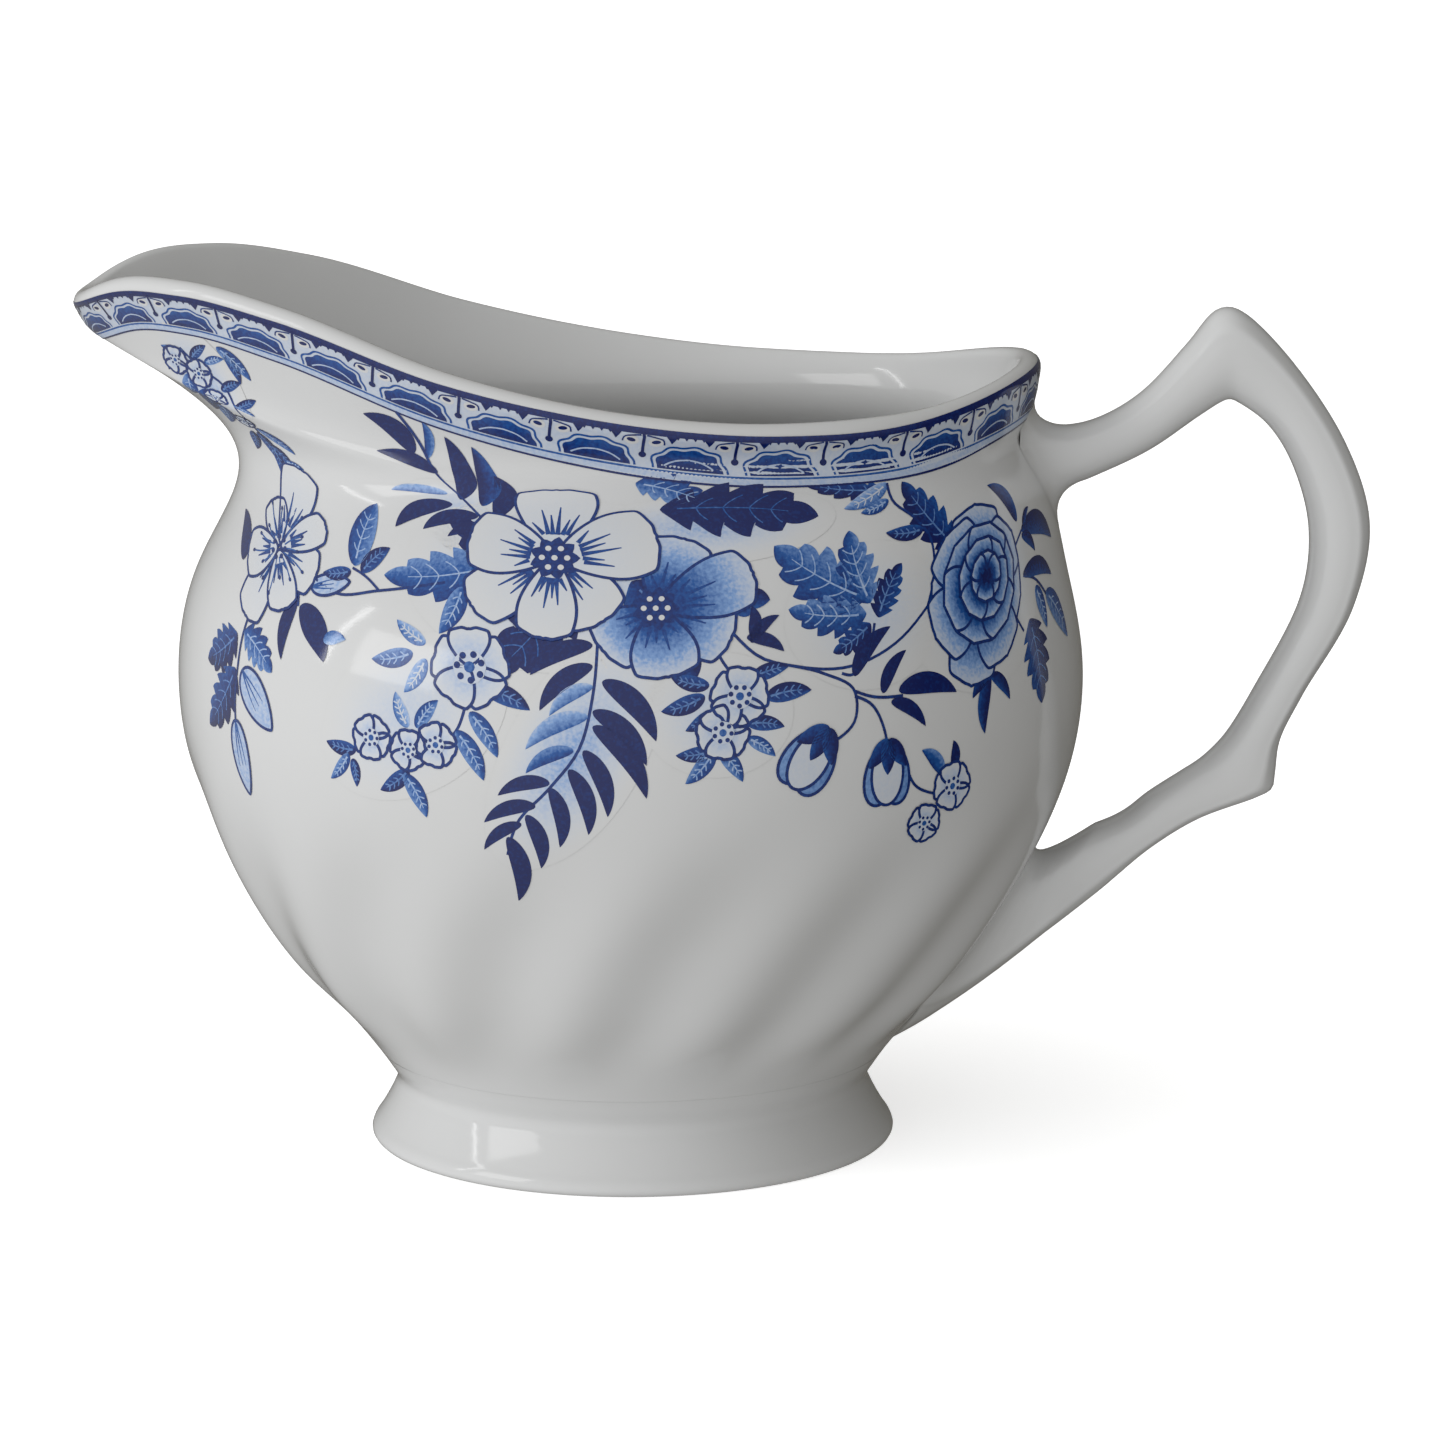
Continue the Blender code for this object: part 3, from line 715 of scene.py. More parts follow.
class SkinChart:
    """Flat chart of the skin in millimetres: side is counted along the level hoop from the front
    towards the handle, and climb up the skin from the waist."""

    def __init__(self):
        self.angles = np.linspace(-0.05, 2.05, CHART_COLUMNS) * math.pi
        self.rises = np.linspace(0, 1, CHART_ROWS)
        points = plain_skin(self.angles[None, :], self.rises[:, None])
        heights = points[..., 2]
        self.climb = running_length(points, 0)
        travel = running_length(points, 1)
        near = (self.angles > math.pi) & (self.angles < 2 * math.pi)
        front = [np.interp(0, row[near, 0], went[near]) for row, went in zip(points, travel)]
        side = travel - np.array(front)[:, None]
        self.climbs = np.linspace(0, self.climb.max(), CHART_ROWS)
        self.heights = np.linspace(heights.min(), heights.max(), CHART_ROWS)
        self.sides = np.linspace(side.min(), side.max(), CHART_COLUMNS)
        columns = range(CHART_COLUMNS)
        by_climb = [np.interp(self.climbs, self.climb[:, k], self.rises) for k in columns]
        by_height = [np.interp(self.heights, heights[:, k], self.rises) for k in columns]
        self.rise_by_climb = np.stack(by_climb, axis=1)
        self.rise_by_height = np.stack(by_height, axis=1)
        self.angle_by_side = np.stack([np.interp(self.sides, row, self.angles) for row in side])
        self.rim_travel = travel[-1] - np.interp(0, self.angles, travel[-1])
        self.rim_length = np.interp(2 * math.pi, self.angles, self.rim_travel)
        self.border_angle, self.border_rise = self.square_to_rim()

    def find(self, side, up, ups, rise_table):
        rise = np.full(side.shape, 0.6)
        for _ in range(CHART_ROUNDS):
            row = rise * (CHART_ROWS - 1)
            angle = read_table(self.angle_by_side, row, place_in(self.sides, side))
            rise = read_table(rise_table, place_in(ups, up), place_in(self.angles, angle))
        return angle, rise

    def spot(self, side, height):
        """Chart point of a place given by its side and its height above the table."""
        side, height = np.array([float(side)]), np.array([float(height)])
        angle, rise = self.find(side, height, self.heights, self.rise_by_height)
        climb = read_table(self.climb, rise * (CHART_ROWS - 1), place_in(self.angles, angle))
        return np.array([side[0], climb[0]])

    def wrap(self, points):
        """Angle and rise of chart points. None of them turns over the lip."""
        angle, rise = self.find(points[:, 0], points[:, 1], self.climbs, self.rise_by_climb)
        return angle, rise, np.zeros(len(points))

    def wrap_border(self, points):
        """Angle, rise and turn over the lip of points at a length along the rim and a depth."""
        angle = np.interp(points[:, 0], self.rim_travel, self.angles)
        depth = -points[:, 1] - BORDER_RAISE * (1 - BORDER_RAISE_LOSS * towards_spout(angle))
        roll = np.clip(-depth, 0, None) / (WALL_AT_LIP / 2)
        row, column = depth / BORDER_STEP, place_in(self.angles, angle)
        angle = read_table(self.border_angle, row, column)
        return angle, read_table(self.border_rise, row, column), roll

    def square_to_rim(self):
        """Follow the skin down from the rim, always square to its level hoops."""
        angle, rise = self.angles.copy(), np.full(CHART_COLUMNS, SKIN_TOP)
        angles, rises = [angle], [rise]
        step = 0.001
        for _ in range(BORDER_ROWS):
            around = (plain_skin(angle + step, rise) - plain_skin(angle - step, rise)) / (2 * step)
            up = (plain_skin(angle, rise + step) - plain_skin(angle, rise - step)) / (2 * step)
            slant = (up * around).sum(axis=-1) / (around ** 2).sum(axis=-1)
            square = np.linalg.norm(up - around * slant[:, None], axis=-1)
            square = square / (1 - BORDER_SHRINK * towards_spout(angle))
            rise = rise - BORDER_STEP / square
            angle = angle + slant * BORDER_STEP / square
            angles.append(angle)
            rises.append(rise)
        return np.array(angles), np.array(rises)


class Print:
    """Collects flat patches of colour, then wraps them on the skin as one mesh."""

    def __init__(self):
        self.points, self.tones, self.layers, self.faces = [], [], [], []
        self.count = 0

    def add(self, points, faces, tone, layer):
        points = np.reshape(points, (-1, 2))
        x, y = points[faces].transpose(2, 0, 1)
        area = (x * np.roll(y, -1, axis=1) - y * np.roll(x, -1, axis=1)).sum()
        if area < 0:
            faces = faces[:, ::-1]
        self.points.append(points)
        self.tones.append(np.broadcast_to(np.ravel(tone), len(points)))
        self.layers.append(np.full(len(points), layer))
        self.faces.extend((faces + self.count).tolist())
        self.count += len(points)

    def ribbon(self, line, half_width, tone, layer, columns=2, closed=False):
        """Band along a line. The tone may differ at each point, or across the band."""
        if closed:
            forward = np.roll(line, -1, axis=0) - np.roll(line, 1, axis=0)
        else:
            forward = np.gradient(line, axis=0)
        forward = unit(forward)
        sideways = np.stack([-forward[:, 1], forward[:, 0]], axis=-1)
        width = np.broadcast_to(half_width, len(line))[:, None]
        shares = np.linspace(-1, 1, columns)
        points = np.array([line + sideways * width * share for share in shares])
        tones = np.broadcast_to(tone, (columns, len(line)))
        self.add(points, grid_faces(columns, len(line), closed), tones, layer)

    def fan(self, outline, centre, tone, layer, rings=3):
        """Filled outline. The tone is a number, or is worked out from the points."""
        x, y = outline.T
        if (x * np.roll(y, -1) - y * np.roll(x, -1)).sum() < 0:
            outline = outline[::-1]
        shares = np.linspace(0, 1, rings + 1)[1:]
        grid = np.array([centre + (outline - centre) * share for share in shares])
        points = np.concatenate([grid.reshape(-1, 2), [centre]])
        tones = tone(points) if callable(tone) else tone
        start = self.count
        self.add(points, grid_faces(rings, len(outline), True), tones, layer)
        around = start + np.arange(len(outline))
        middle = np.full(len(outline), self.count - 1)
        self.faces.extend(np.stack([middle, around, np.roll(around, -1)], axis=-1).tolist())

    def stroke(self, points, half_width, tone, layer, count=14):
        self.ribbon(smooth_path(points, count), half_width, tone, layer)

    def make(self, name, material, wrap, origin, mirrored=False):
        angles, rise, roll = wrap(np.concatenate(self.points))
        lift = PRINT_LIFT + PRINT_LAYER * np.concatenate(self.layers)
        faces = self.faces
        if mirrored:
            angles = -angles
            faces = [face[::-1] for face in faces]
        points, normals = printed_surface(angles, np.clip(rise, 0, SKIN_TOP), roll, lift)
        thing = object_from_points(name, points, faces, material, origin)
        attribute = thing.data.attributes.new("tone", "FLOAT", "POINT")
        attribute.data.foreach_set("value", np.concatenate(self.tones))
        thing.data.normals_split_custom_set_from_vertices(normals.tolist())
        return thing


# ---------------------------------------------------------------- motifs
def turned(points, degrees):
    angle = math.radians(degrees)
    x, y = points[..., 0], points[..., 1]
    across = x * math.cos(angle) - y * math.sin(angle)
    return np.stack([across, x * math.sin(angle) + y * math.cos(angle)], axis=-1)


def bow(base, tip, bend, count):
    """Line from base to tip that bows to its left by a share of its length."""
    t = np.linspace(0, 1, count)[:, None]
    forward = tip - base
    sideways = np.array([-forward[1], forward[0]])
    return base + forward * t + sideways * (4 * bend * t * (1 - t))


def leaf_width(t):
    """Share of the greatest half width, from a blunt base to a long point."""
    return 1.75 * np.clip(t, 0, 1) ** 0.65 * np.clip(1 - t, 0, 1) ** 0.85


def leaf(art, base, tip, fatness=0.2, bend=0.08, tone=NAVY, layer=2, teeth=0, veined=False):
    """Leaf blade as a band with a pointed tip. Teeth point to the tip."""
    length = np.linalg.norm(tip - base)
    count = LEAF_POINTS * 2 if teeth else LEAF_POINTS
    t = np.linspace(0, 1, count)
    line = bow(base, tip, bend, count)
    width = LEAF_GAIN * length * fatness * leaf_width(t) + THIN_LINE * (1 - t)
    if teeth:
        width = width * (1.2 - TOOTH_DEPTH * (1 - (t * teeth) % 1.0) ** 1.6)
    across = np.linspace(-1, 1, LEAF_COLUMNS)[:, None]
    tones = tone + LEAF_SHADE * (tone < NAVY) * across
    art.ribbon(line, width, tones, layer, columns=LEAF_COLUMNS)
    if veined:
        vein_tone = max(tone - VEIN_CONTRAST, 0.1)
        middle = line[count // 9:-count // 5]
        art.ribbon(middle, np.linspace(0.12, 0.04, len(middle)), vein_tone, layer + 1)
        for share in VEIN_SHARES:
            start = line[int(share * count)]
            ahead = (tip - base) / length
            aside = np.array([-ahead[1], ahead[0]])
            reach = 0.72 * length * fatness * leaf_width(share)
            for side in (-1, 1):
                end = start + ahead * reach * 0.9 + aside * side * reach
                art.ribbon(bow(start, end, 0.08 * side, 6), 0.07, vein_tone, layer + 1)


def outline_leaf(art, base, tip, fatness=0.25, layer=2):
    """Pale leaf with a dark edge and a few strokes along it."""
    length = np.linalg.norm(tip - base)
    turn = circle_angles(40)
    across = np.sin(turn) * np.abs(np.sin(turn / 2)) ** 0.5 * fatness * 1.1
    outline = np.stack([(1 + np.cos(turn)) / 2, across], axis=-1) * length
    direction = math.degrees(math.atan2(*(tip - base)[::-1]))
    outline = turned(outline, direction) + base
    art.fan(outline, (base + tip) / 2, PALE * 0.6, layer)
    art.ribbon(outline, EDGE_LINE, DARK, layer + 1, closed=True)
    for side in (-1, 0, 1):
        end = base + turned(np.array([length * 0.6, length * fatness * 0.4 * side]), direction)
        art.ribbon(bow(base, end, 0.03 * side, 8), np.linspace(0.14, 0.04, 8), COBALT, layer + 1)


def petal(art, centre, direction, length, half_width, wash, layer, strokes=0, notch=0.1):
    """Petal with a notched end, a dark edge, a wash of colour and strokes from its foot."""
    turn = circle_angles(PETAL_POINTS)
    near_tip = (1 + np.cos(turn)) / 2
    wrapped = np.abs(np.angle(np.exp(1j * turn)))
    x = length * (0.52 + 0.48 * np.cos(turn))
    x = x - notch * length * np.exp(-((wrapped / NOTCH_SPREAD) ** 2))
    crinkle = 1 - CRINKLE_DEPTH * near_tip ** 3 * np.abs(np.sin(CRINKLE_TURNS * turn))
    x = x * crinkle
    y = half_width * np.sin(turn) * (0.52 + 0.68 * near_tip) * crinkle
    outline = turned(np.stack([x, y], axis=-1), direction) + centre
    middle = turned(np.array([length * 0.55, 0.0]), direction) + centre

    def washed(points):
        away = np.linalg.norm(points - centre, axis=-1) / length
        return wash * np.clip(1.25 - 1.15 * away, 0, 1)

    art.fan(outline, middle, washed, layer, rings=max(2, int(half_width / 0.8)))
    art.ribbon(outline, EDGE_LINE, DARK, layer + 1, closed=True)
    for index in range(strokes):
        side = (index + 0.5) / strokes * 2 - 1
        reach = length * (0.62 - 0.16 * abs(side) - 0.12 * (index % 2))
        start = turned(np.array([length * 0.24, side * half_width * 0.3]), direction) + centre
        end = turned(np.array([reach, side * half_width * 0.62]), direction) + centre
        art.ribbon(bow(start, end, 0, 9), np.linspace(0.27, 0.07, 9), COBALT + 0.12, layer + 1)


def flower_heart(art, centre, radius, layer):
    """Dark middle of a flower with white seeds."""
    turn = circle_angles(36)
    edge = radius * (1 + 0.14 * np.cos(9 * turn))
    outline = centre + np.stack([edge * np.cos(turn), edge * np.sin(turn)], axis=-1)
    art.fan(outline, centre, DARK, layer)
    ring = [centre] + [centre + turned(np.array([radius * 0.56, 0.0]), 60 * k) for k in range(6)]
    for seed in ring:
        dot(art, seed, radius * 0.14, radius * 0.14, 0.0, layer + 1)


def dot(art, centre, half_length, half_width, tone, layer, direction=0.0):
    turn = circle_angles(12)
    oval = np.stack([half_length * np.cos(turn), half_width * np.sin(turn)], axis=-1)
    art.fan(centre + turned(oval, direction), centre, tone, layer, rings=1)


def flower(art, centre, petals, wash, layer, strokes=5, heart=2.0, notch=0.08):
    for order, (direction, length, half_width) in enumerate(petals):
        place = layer + 2 * (order % 2)
        petal(art, centre, direction, length, half_width, wash, place, strokes, notch)
    if heart:
        flower_heart(art, centre, heart, layer + 4)


def blossom(art, centre, radius, tilt, layer):
    """Small five-petalled blossom with a ring of stamens."""
    for index in range(5):
        place = layer + 2 * (index % 2)
        petal(art, centre, tilt + 72 * index, radius, radius * 0.56, 0.3, place, 0, 0.12)
    dot(art, centre, radius * 0.4, radius * 0.4, 0.16, layer + 4)
    for index in range(7):
        place = centre + turned(np.array([radius * 0.3, 0.0]), tilt + 360 / 7 * index)
        dot(art, place, radius * 0.08, radius * 0.08, DARK, layer + 5)
    dot(art, centre, radius * 0.13, radius * 0.13, COBALT, layer + 5)


def bud(art, centre, radius, direction, layer):
    """Closed bud: overlapping petals washed at their sides, and a dark calyx at its foot."""
    turn = circle_angles(36)
    for side, tone in ((-1, 0.45), (1, 0.5), (0, 0.12)):
        width = radius * (0.62 if side else 0.6)
        oval = np.stack([radius * np.cos(turn), width * np.sin(turn)], axis=-1)
        oval[:, 1] += side * radius * 0.38 * (0.6 + 0.4 * np.cos(turn))
        place = layer if side else layer + 2
        middle = centre + turned(np.array([0.0, side * radius * 0.38]), direction)
        outline = centre + turned(oval, direction)
        art.fan(outline, middle, tone, place)
        art.ribbon(outline, EDGE_LINE, DARK, place + 1, closed=True)
    foot = centre - turned(np.array([radius * 1.15, 0.0]), direction)
    for side in (-38, 0, 38):
        tip = foot + turned(np.array([radius * 1.15, 0.0]), direction + side)
        leaf(art, foot, tip, 0.3, 0.0, DARK, layer + 4)


def rose(art, centre, layer):
    """Full-blown rose: rounds of petals, smaller and smaller, each dark where the next covers it."""
    for order, (direction, length, half_width) in enumerate(ROSE_PETALS):
        place = layer + 2 * (order % 2)
        petal(art, centre, direction, length, half_width, 1.0, place, 3, 0.05)
    for step, (aside, up, size, wash) in enumerate(ROSE_ROUNDS):
        heart = centre + np.array([aside, up])
        for order in range(6):
            place = layer + 4 + 4 * step + 2 * (order % 2)
            direction = 60 * order + 34 * step + 15
            petal(art, heart, direction, size, size * 0.58, wash, place, 1, 0.03)
    dot(art, heart, 0.9, 0.6, NAVY, layer + 17, 40)


def glow(art, centre, half_length, half_width, tone, direction=0.0):
    """Soft wash that fades to nothing, for the colour that bleeds into the glaze."""
    turn = circle_angles(GLOW_POINTS)
    oval = turned(np.stack([np.cos(turn) * half_length, np.sin(turn) * half_width], -1), direction)

    def faded(points):
        local = turned(points - centre, -direction) / np.array([half_length, half_width])
        return tone * ease(1.0 - np.linalg.norm(local, axis=-1))

    art.fan(centre + oval, centre, faded, 0, rings=int(half_length / GLOW_RING))


def draw_border(rim_length):
    """Border that runs all round under the lip: stems, eyes, teeth and half-moon fans."""
    art = Print()
    pitch = rim_length / BORDER_UNITS
    count = int(rim_length / BORDER_SPACING)
    travel = np.append(np.linspace(0, rim_length, count, endpoint=False), rim_length)

    def band(top, foot, tone, layer, columns=2):
        line = np.stack([travel, np.full(len(travel), -(top + foot) / 2)], axis=-1)
        art.ribbon(line, (foot - top) / 2, tone, layer, columns)

    band(BORDER_TOP[0], BORDER_BOTTOM[1], BORDER_GROUND, 0, columns=10)
    band(*BORDER_TOP, NAVY, 2, columns=5)
    band(*BORDER_STRIPE, COBALT, 2)
    band(*BORDER_BOTTOM, NAVY, 2)
    band(BORDER_STRIPE[1], BORDER_BOTTOM[0], STRIPE_GROUND, 1)
    for unit_index in range(BORDER_UNITS):
        border_unit(art, (BORDER_SHIFT + unit_index * pitch) % rim_length, pitch)
    return art


def tooth(art, middle, half_width, top, tip):
    """Pointed tooth that hangs from the border's top line."""
    corners = np.array([(middle - half_width, -top), (middle, -tip), (middle + half_width, -top)])
    art.fan(smooth_edge(corners), corners.mean(axis=0), NAVY, 3, rings=1)


def border_unit(art, middle, pitch):
    """One repeat of the border, from the middle of a stem to the next."""
    top, foot = np.array([(middle, -depth) for depth in STEM_DEPTHS])
    art.ribbon(bow(top, foot, 0, 10), STEM_HALF_WIDTH, NAVY, 4)
    dot(art, foot, *STEM_END, NAVY, 4)
    for side in (-1, 1):
        eye = np.array([middle + side * EYE_PLACE * pitch, -EYE_DEPTH])
        dot(art, eye, *EYE_SIZE, 0.0, 2, EYE_TILT * side)
        dot(art, eye, *EYE_SEED, NAVY, 3, EYE_TILT * side)
        hook = [(middle + side * share * pitch, -depth) for share, depth in HOOK]
        art.stroke(hook, HOOK_LINE, DARK, 3, 10)
        tooth(art, middle + side * CUSP_PLACE * pitch, *CUSP)
    for place in SCALLOP_PLACES:
        tooth(art, middle + place * pitch, *SCALLOP)
    half_moon(art, middle + pitch / 2, pitch)


def smooth_edge(corners):
    """Closed outline through the corners with a few points on each side."""
    shares = np.linspace(0, 1, 4)[:-1, None]
    sides = [a + (b - a) * shares for a, b in zip(corners, np.roll(corners, -1, axis=0))]
    return np.concatenate(sides)


def half_moon(art, middle, pitch):
    """Scalloped fan that stands on the stripe, darker at its foot, with light veins."""
    sweep = np.linspace(0, math.pi, 40)
    half = FAN_HALF * pitch
    height = FAN_FOOT - FAN_TOP
    swell = 1 + FAN_SWELL * np.cos(FAN_LOBES * sweep)
    x = middle + half * np.cos(sweep) * swell
    y = -FAN_FOOT + height * np.sin(sweep) ** 0.75 * swell
    outline = np.stack([x, y], axis=-1)
    foot = np.linspace(0, 1, 14)[1:-1, None]
    outline = np.concatenate([outline, outline[-1] + (outline[0] - outline[-1]) * foot])

    def shaded(points):
        return FAN_TONES[0] + FAN_TONES[1] * np.clip((-points[:, 1] - FAN_TOP) / height, 0, 1)

    art.fan(outline, np.array([middle, -FAN_FOOT + height * 0.35]), shaded, 2, rings=3)
    halo = [middle + HALO_GAIN * (x - middle), y + HALO_RISE * np.sin(sweep)]
    art.ribbon(np.stack(halo, axis=-1), HALO_LINE, HALO_TONE, 2)
    for side in (-1, 1):
        vein = [(middle + side * 0.75 * half, -FAN_FOOT + 0.35)]
        vein += [(middle + side * 0.45 * half, -FAN_FOOT + 0.95), (middle, -FAN_FOOT + 1.25)]
        art.stroke(vein, 0.09, 0.25, 3, 10)


def draw_floral(chart):
    """The sprays of flowers and leaves on one side of the jug."""
    art = Print()
    for side, height, half_length, half_width, tone, direction in GLOWS:
        glow(art, chart.spot(side, height), half_length, half_width, tone, direction)
    for stem in STEMS:
        places = [chart.spot(*place) for place in stem]
        art.stroke(places, STEM_LINE, DARK, 2, 24)
    for row in SOLID_LEAVES:
        bend = 0.12 if row[2] > row[0] else -0.12
        leaf(art, chart.spot(*row[:2]), chart.spot(*row[2:4]), row[4], bend, row[5], 2)
    for row in TOOTHED_LEAVES:
        base, tip = chart.spot(*row[:2]), chart.spot(*row[2:4])
        leaf(art, base, tip, row[4] * TOOTHED_GAIN, 0.05, row[5], 1, teeth=5, veined=True)
    for row in VEINED_LEAVES:
        base, tip = chart.spot(*row[:2]), chart.spot(*row[2:4])
        leaf(art, base, tip, row[4], 0.06, row[5], 2, veined=True)
    for row in OUTLINE_LEAVES:
        outline_leaf(art, chart.spot(*row[:2]), chart.spot(*row[2:4]), row[4])
    flower(art, chart.spot(*OUTLINE_FLOWER), OUTLINE_PETALS, 0.1, 4, strokes=4, heart=0, notch=0.08)
    stamens(art, chart.spot(*OUTLINE_FLOWER), 8)
    flower(art, chart.spot(*SECOND_FLOWER), SECOND_PETALS, 0.82, 4, strokes=4, heart=2.2)
    for side, height, radius, tilt in BLOSSOMS:
        blossom(art, chart.spot(side, height), radius, tilt, 4)
    for side, height, radius, direction in BUDS:
        bud(art, chart.spot(side, height), radius, direction, 4)
    rose(art, chart.spot(*ROSE), 4)
    flower(art, chart.spot(*LARGE_FLOWER), LARGE_PETALS, 0.1, 9, strokes=6, heart=2.4)
    return art


def stamens(art, centre, layer):
    """Radiating stamens with dark ends round a seeded middle."""
    for index in range(15):
        direction = 24 * index
        reach = 3.4 + 0.9 * (index % 3)
        end = centre + turned(np.array([reach, 0.0]), direction)
        start = centre + turned(np.array([1.1, 0.0]), direction)
        art.ribbon(bow(start, end, 0.05, 7), 0.09, COBALT, layer)
        dot(art, end, 0.28, 0.2, DARK, layer + 1, direction)
    for index in range(7):
        place = centre + turned(np.array([1.15, 0.0]), 360 / 7 * index)
        dot(art, place, 0.32, 0.3, DARK, layer + 1)


# ---------------------------------------------------------------- looks
def node(tree, kind, **values):
    """Add a node; names of inputs are given with underscores for spaces."""
    new = tree.nodes.new(kind)
    for key, value in values.items():
        name = key.replace("_", " ")
        if name in new.inputs:
            new.inputs[name].default_value = value
        else:
            setattr(new, key, value)
    return new


def glaze_material(name, light, dark, printed=False):
    """Clear glaze over white clay; printed adds the cobalt under it from the tone of the piece."""
    material = bpy.data.materials.new(name)
    material.use_nodes = True
    tree = material.node_tree
    shader = tree.nodes["Principled BSDF"]
    place = node(tree, "ShaderNodeTexCoord")
    cloud = node(tree, "ShaderNodeTexNoise", Scale=45.0, Detail=4.0, Roughness=0.6)
    ripple = node(tree, "ShaderNodeTexNoise", Scale=140.0, Detail=2.0)
    tint = node(tree, "ShaderNodeMix", data_type="RGBA")
    tint.inputs["A"].default_value = light
    tint.inputs["B"].default_value = dark
    gloss = node(tree, "ShaderNodeMapRange", To_Min=0.06, To_Max=0.13)
    bump = node(tree, "ShaderNodeBump", Strength=0.12, Distance=0.0002)
    tree.links.new(place.outputs["Object"], cloud.inputs["Vector"])
    tree.links.new(place.outputs["Object"], ripple.inputs["Vector"])
    tree.links.new(cloud.outputs["Fac"], tint.inputs["Factor"])
    tree.links.new(cloud.outputs["Fac"], gloss.inputs["Value"])
    tree.links.new(ripple.outputs["Fac"], bump.inputs["Height"])
    tree.links.new(gloss.outputs["Result"], shader.inputs["Roughness"])
    tree.links.new(bump.outputs["Normal"], shader.inputs["Normal"])
    shader.inputs["IOR"].default_value = 1.44
    colour = tint.outputs["Result"]
    if printed:
        colour = print_colour(tree, place, colour)
    tree.links.new(colour, shader.inputs["Base Color"])
    return material


def print_colour(tree, place, ground):
    """Ink over the ground colour: stippled, from pale blue through cobalt to navy."""
    tone = node(tree, "ShaderNodeAttribute", attribute_name="tone")
    grain = node(tree, "ShaderNodeTexNoise", Scale=2600.0, Detail=1.0)
    spread = node(tree, "ShaderNodeMapRange", From_Min=0.3, From_Max=0.7, To_Min=-0.07, To_Max=0.07)
    stippled = node(tree, "ShaderNodeMath", operation="ADD", use_clamp=True)
    inked = node(tree, "ShaderNodeMapRange", From_Min=0.0, From_Max=0.32)
    faded = node(tree, "ShaderNodeMath", operation="MULTIPLY")
    tree.links.new(place.outputs["Object"], grain.inputs["Vector"])
    tree.links.new(grain.outputs["Fac"], spread.inputs["Value"])
    tree.links.new(tone.outputs["Fac"], inked.inputs["Value"])
    tree.links.new(spread.outputs["Result"], faded.inputs[0])
    tree.links.new(inked.outputs["Result"], faded.inputs[1])
    tree.links.new(tone.outputs["Fac"], stippled.inputs[0])
    tree.links.new(faded.outputs["Value"], stippled.inputs[1])
    ramp = node(tree, "ShaderNodeValToRGB")
    points = ramp.color_ramp.elements
    points[0].position, points[0].color = INKS[0]
    points[1].position, points[1].color = INKS[-1]
    for position, colour in INKS[1:-1]:
        points.new(position).color = colour
    tree.links.new(stippled.outputs["Value"], ramp.inputs["Fac"])
    mix = node(tree, "ShaderNodeMix", data_type="RGBA")
    cover = node(tree, "ShaderNodeMapRange", From_Min=0.0, From_Max=0.4)
    tree.links.new(stippled.outputs["Value"], cover.inputs["Value"])
    tree.links.new(cover.outputs["Result"], mix.inputs["Factor"])
    tree.links.new(ground, mix.inputs["A"])
    tree.links.new(ramp.outputs["Color"], mix.inputs["B"])
    return mix.outputs["Result"]


def make_floor():
    mesh = bpy.data.meshes.new("floor")
    corners = [(-1, -1), (1, -1), (1, 1), (-1, 1)]
    corners = [(x * FLOOR_REACH, y * FLOOR_REACH, 0) for x, y in corners]
    mesh.from_pydata(corners, [], [(0, 1, 2, 3)])
    floor = bpy.data.objects.new("floor", mesh)
    bpy.context.scene.collection.objects.link(floor)
    material = bpy.data.materials.new("floor_paper")
    material.use_nodes = True
    shader = material.node_tree.nodes["Principled BSDF"]
    shader.inputs["Base Color"].default_value = (0.93, 0.93, 0.93, 1.0)
    shader.inputs["Roughness"].default_value = 0.9
    shader.inputs["Emission Color"].default_value = (1.0, 1.0, 1.0, 1.0)
    shader.inputs["Emission Strength"].default_value = FLOOR_GLOW
    floor.visible_diffuse = False
    floor.visible_glossy = False
    mesh.materials.append(material)


def area_light(name, azimuth, elevation, distance, width, height, power):
    """Soft box that looks at the jug's middle. Azimuth 0 is the camera's side, 90 is +X."""
    data = bpy.data.lights.new(name, "AREA")
    data.shape = "RECTANGLE"
    data.size = width
    data.size_y = height
    data.energy = power
    lamp = bpy.data.objects.new(name, data)
    az, el = math.radians(azimuth), math.radians(elevation)
    direction = Vector((math.sin(az) * math.cos(el), -math.cos(az) * math.cos(el), math.sin(el)))
    lamp.location = Vector((0, 0, LIGHT_AIM_HEIGHT)) + direction * distance
    lamp.rotation_euler = direction.to_track_quat("Z", "Y").to_euler()
    bpy.context.scene.collection.objects.link(lamp)


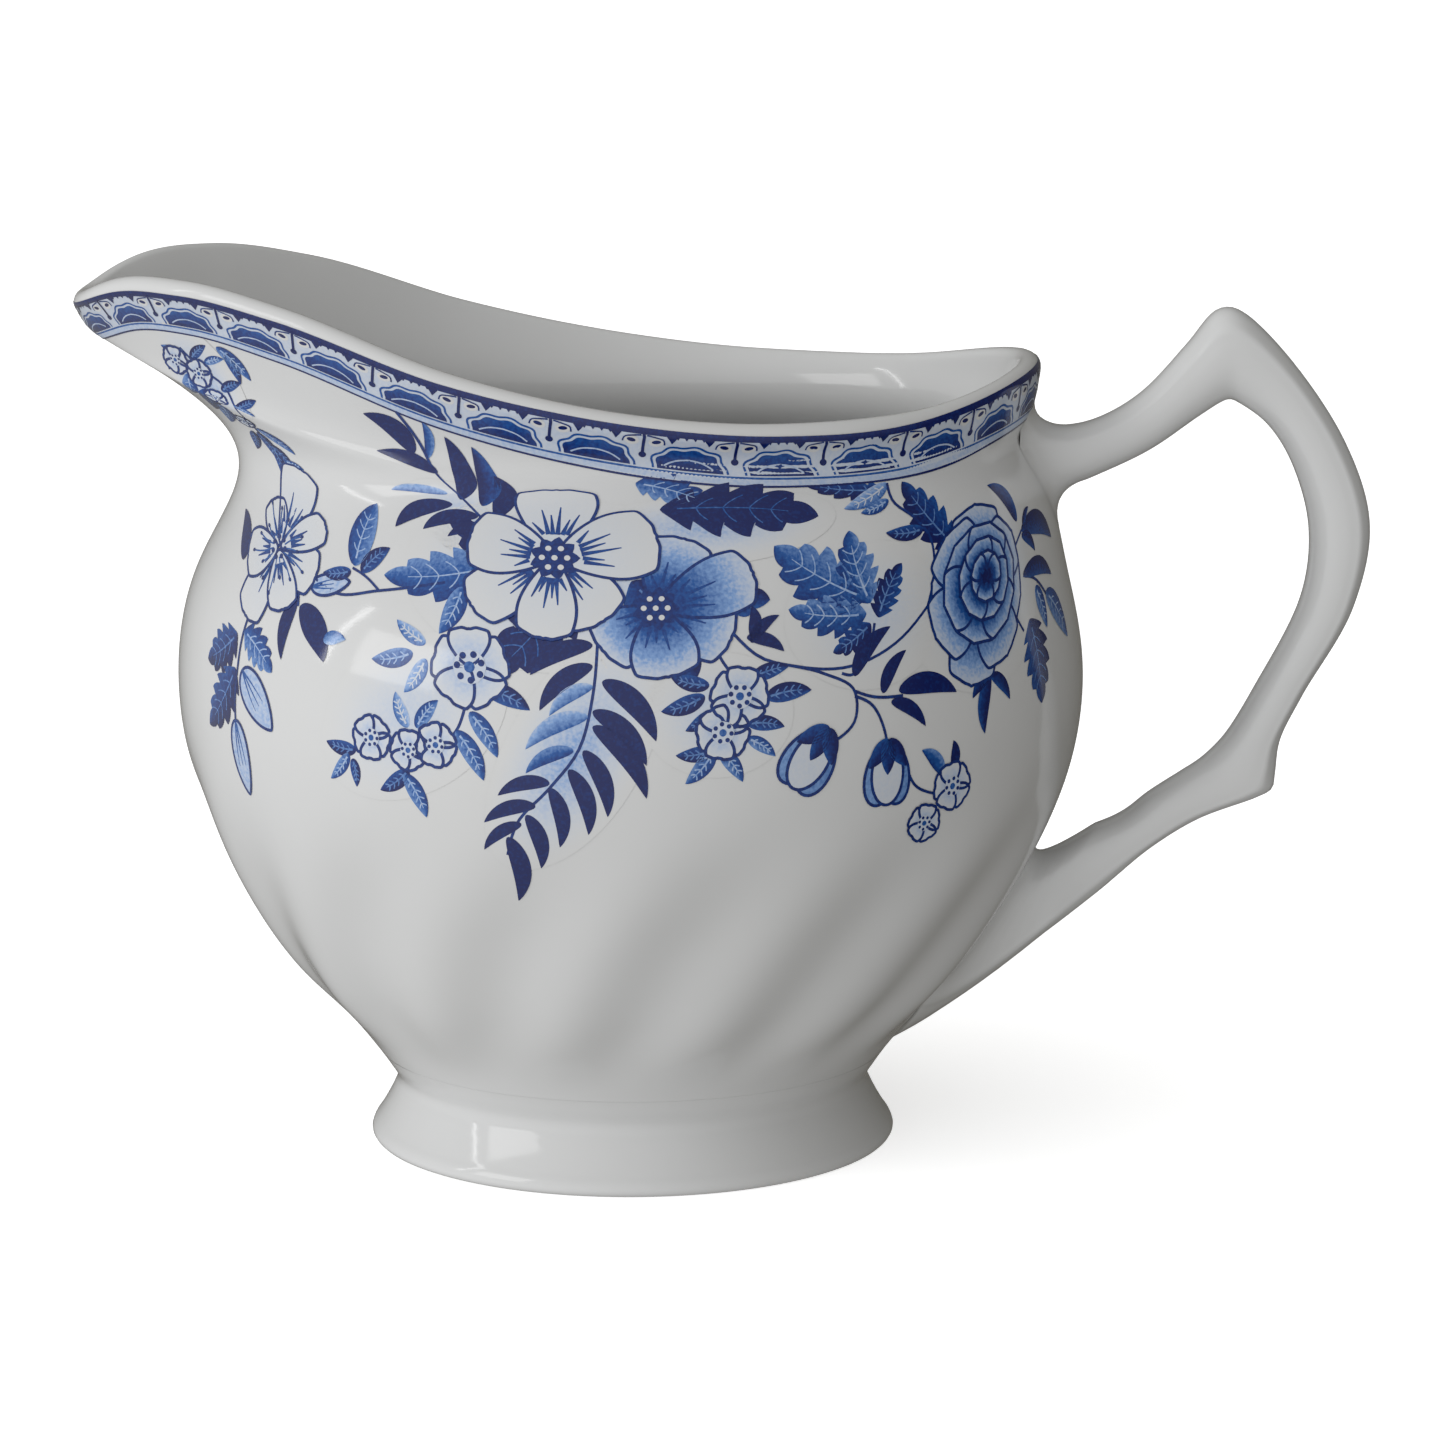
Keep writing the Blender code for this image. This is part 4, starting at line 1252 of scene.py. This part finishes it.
def make_world():
    """Soft room that is brightest towards SOFT_LIGHT_FROM and dims evenly to the other side."""
    world = bpy.data.worlds.new("soft_room")
    bpy.context.scene.world = world
    world.use_nodes = True
    tree = world.node_tree
    back = tree.nodes["Background"]
    place = node(tree, "ShaderNodeTexCoord")
    facing = node(tree, "ShaderNodeVectorMath", operation="DOT_PRODUCT")
    facing.inputs[1].default_value = SOFT_LIGHT_FROM
    side = node(tree, "ShaderNodeMapRange", From_Min=-0.6, From_Max=1.0, To_Min=0.0, To_Max=1.0)
    mix = node(tree, "ShaderNodeMix", data_type="RGBA")
    mix.inputs["A"].default_value = ROOM_DIM
    mix.inputs["B"].default_value = ROOM_BRIGHT
    tree.links.new(place.outputs["Generated"], facing.inputs[0])
    tree.links.new(facing.outputs["Value"], side.inputs["Value"])
    tree.links.new(side.outputs["Result"], mix.inputs["Factor"])
    tree.links.new(mix.outputs["Result"], back.inputs["Color"])
    back.inputs["Strength"].default_value = 1.0


def make_camera(foot_x):
    data = bpy.data.cameras.new("camera")
    data.lens = CAMERA_LENS
    data.sensor_width = 36.0
    camera = bpy.data.objects.new("camera", data)
    camera.location = (foot_x, CAMERA_BACK, CAMERA_HEIGHT)
    camera.rotation_euler = (math.radians(90 - CAMERA_TILT), 0.0, math.radians(CAMERA_TURN))
    bpy.context.scene.collection.objects.link(camera)
    bpy.context.scene.camera = camera


def claim(piece, nodes):
    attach(piece, "root")
    if nodes:
        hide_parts(*nodes)


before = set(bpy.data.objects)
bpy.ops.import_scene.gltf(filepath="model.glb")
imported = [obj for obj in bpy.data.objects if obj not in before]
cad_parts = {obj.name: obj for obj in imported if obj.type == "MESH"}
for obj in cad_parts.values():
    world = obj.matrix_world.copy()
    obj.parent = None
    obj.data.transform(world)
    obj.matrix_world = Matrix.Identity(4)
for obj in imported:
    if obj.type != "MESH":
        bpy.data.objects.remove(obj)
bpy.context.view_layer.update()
foot_low, foot_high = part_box("foot_ring")
foot_x = (foot_low.x + foot_high.x) / 2
origin = np.array([foot_x, 0.0, 0.0])

glaze = glaze_material("body_glaze", CLAY_LIGHT, CLAY_DARK)
foot_glaze = glaze_material("foot_glaze", CLAY_LIGHT, CLAY_DARK)
handle_glaze = glaze_material("handle_glaze", CLAY_LIGHT, CLAY_DARK)
claim(make_body(glaze, origin), ["body_shell"])
claim(make_foot(foot_glaze, origin), ["foot_ring"])
claim(make_handle(handle_glaze, origin), ["handle"])

chart = SkinChart()
ink = glaze_material("print_glaze", CLAY_LIGHT, CLAY_DARK, printed=True)
border = draw_border(chart.rim_length)
claim(border.make("print_border", ink, chart.wrap_border, origin), [])
floral = draw_floral(chart)
claim(floral.make("print_near", ink, chart.wrap, origin), [])
claim(floral.make("print_far", ink, chart.wrap, origin, mirrored=True), [])

make_floor()
make_world()
for name, setting in LIGHTS.items():
    area_light(name, *setting)
make_camera(foot_x)
bpy.context.scene.view_settings.view_transform = "Standard"
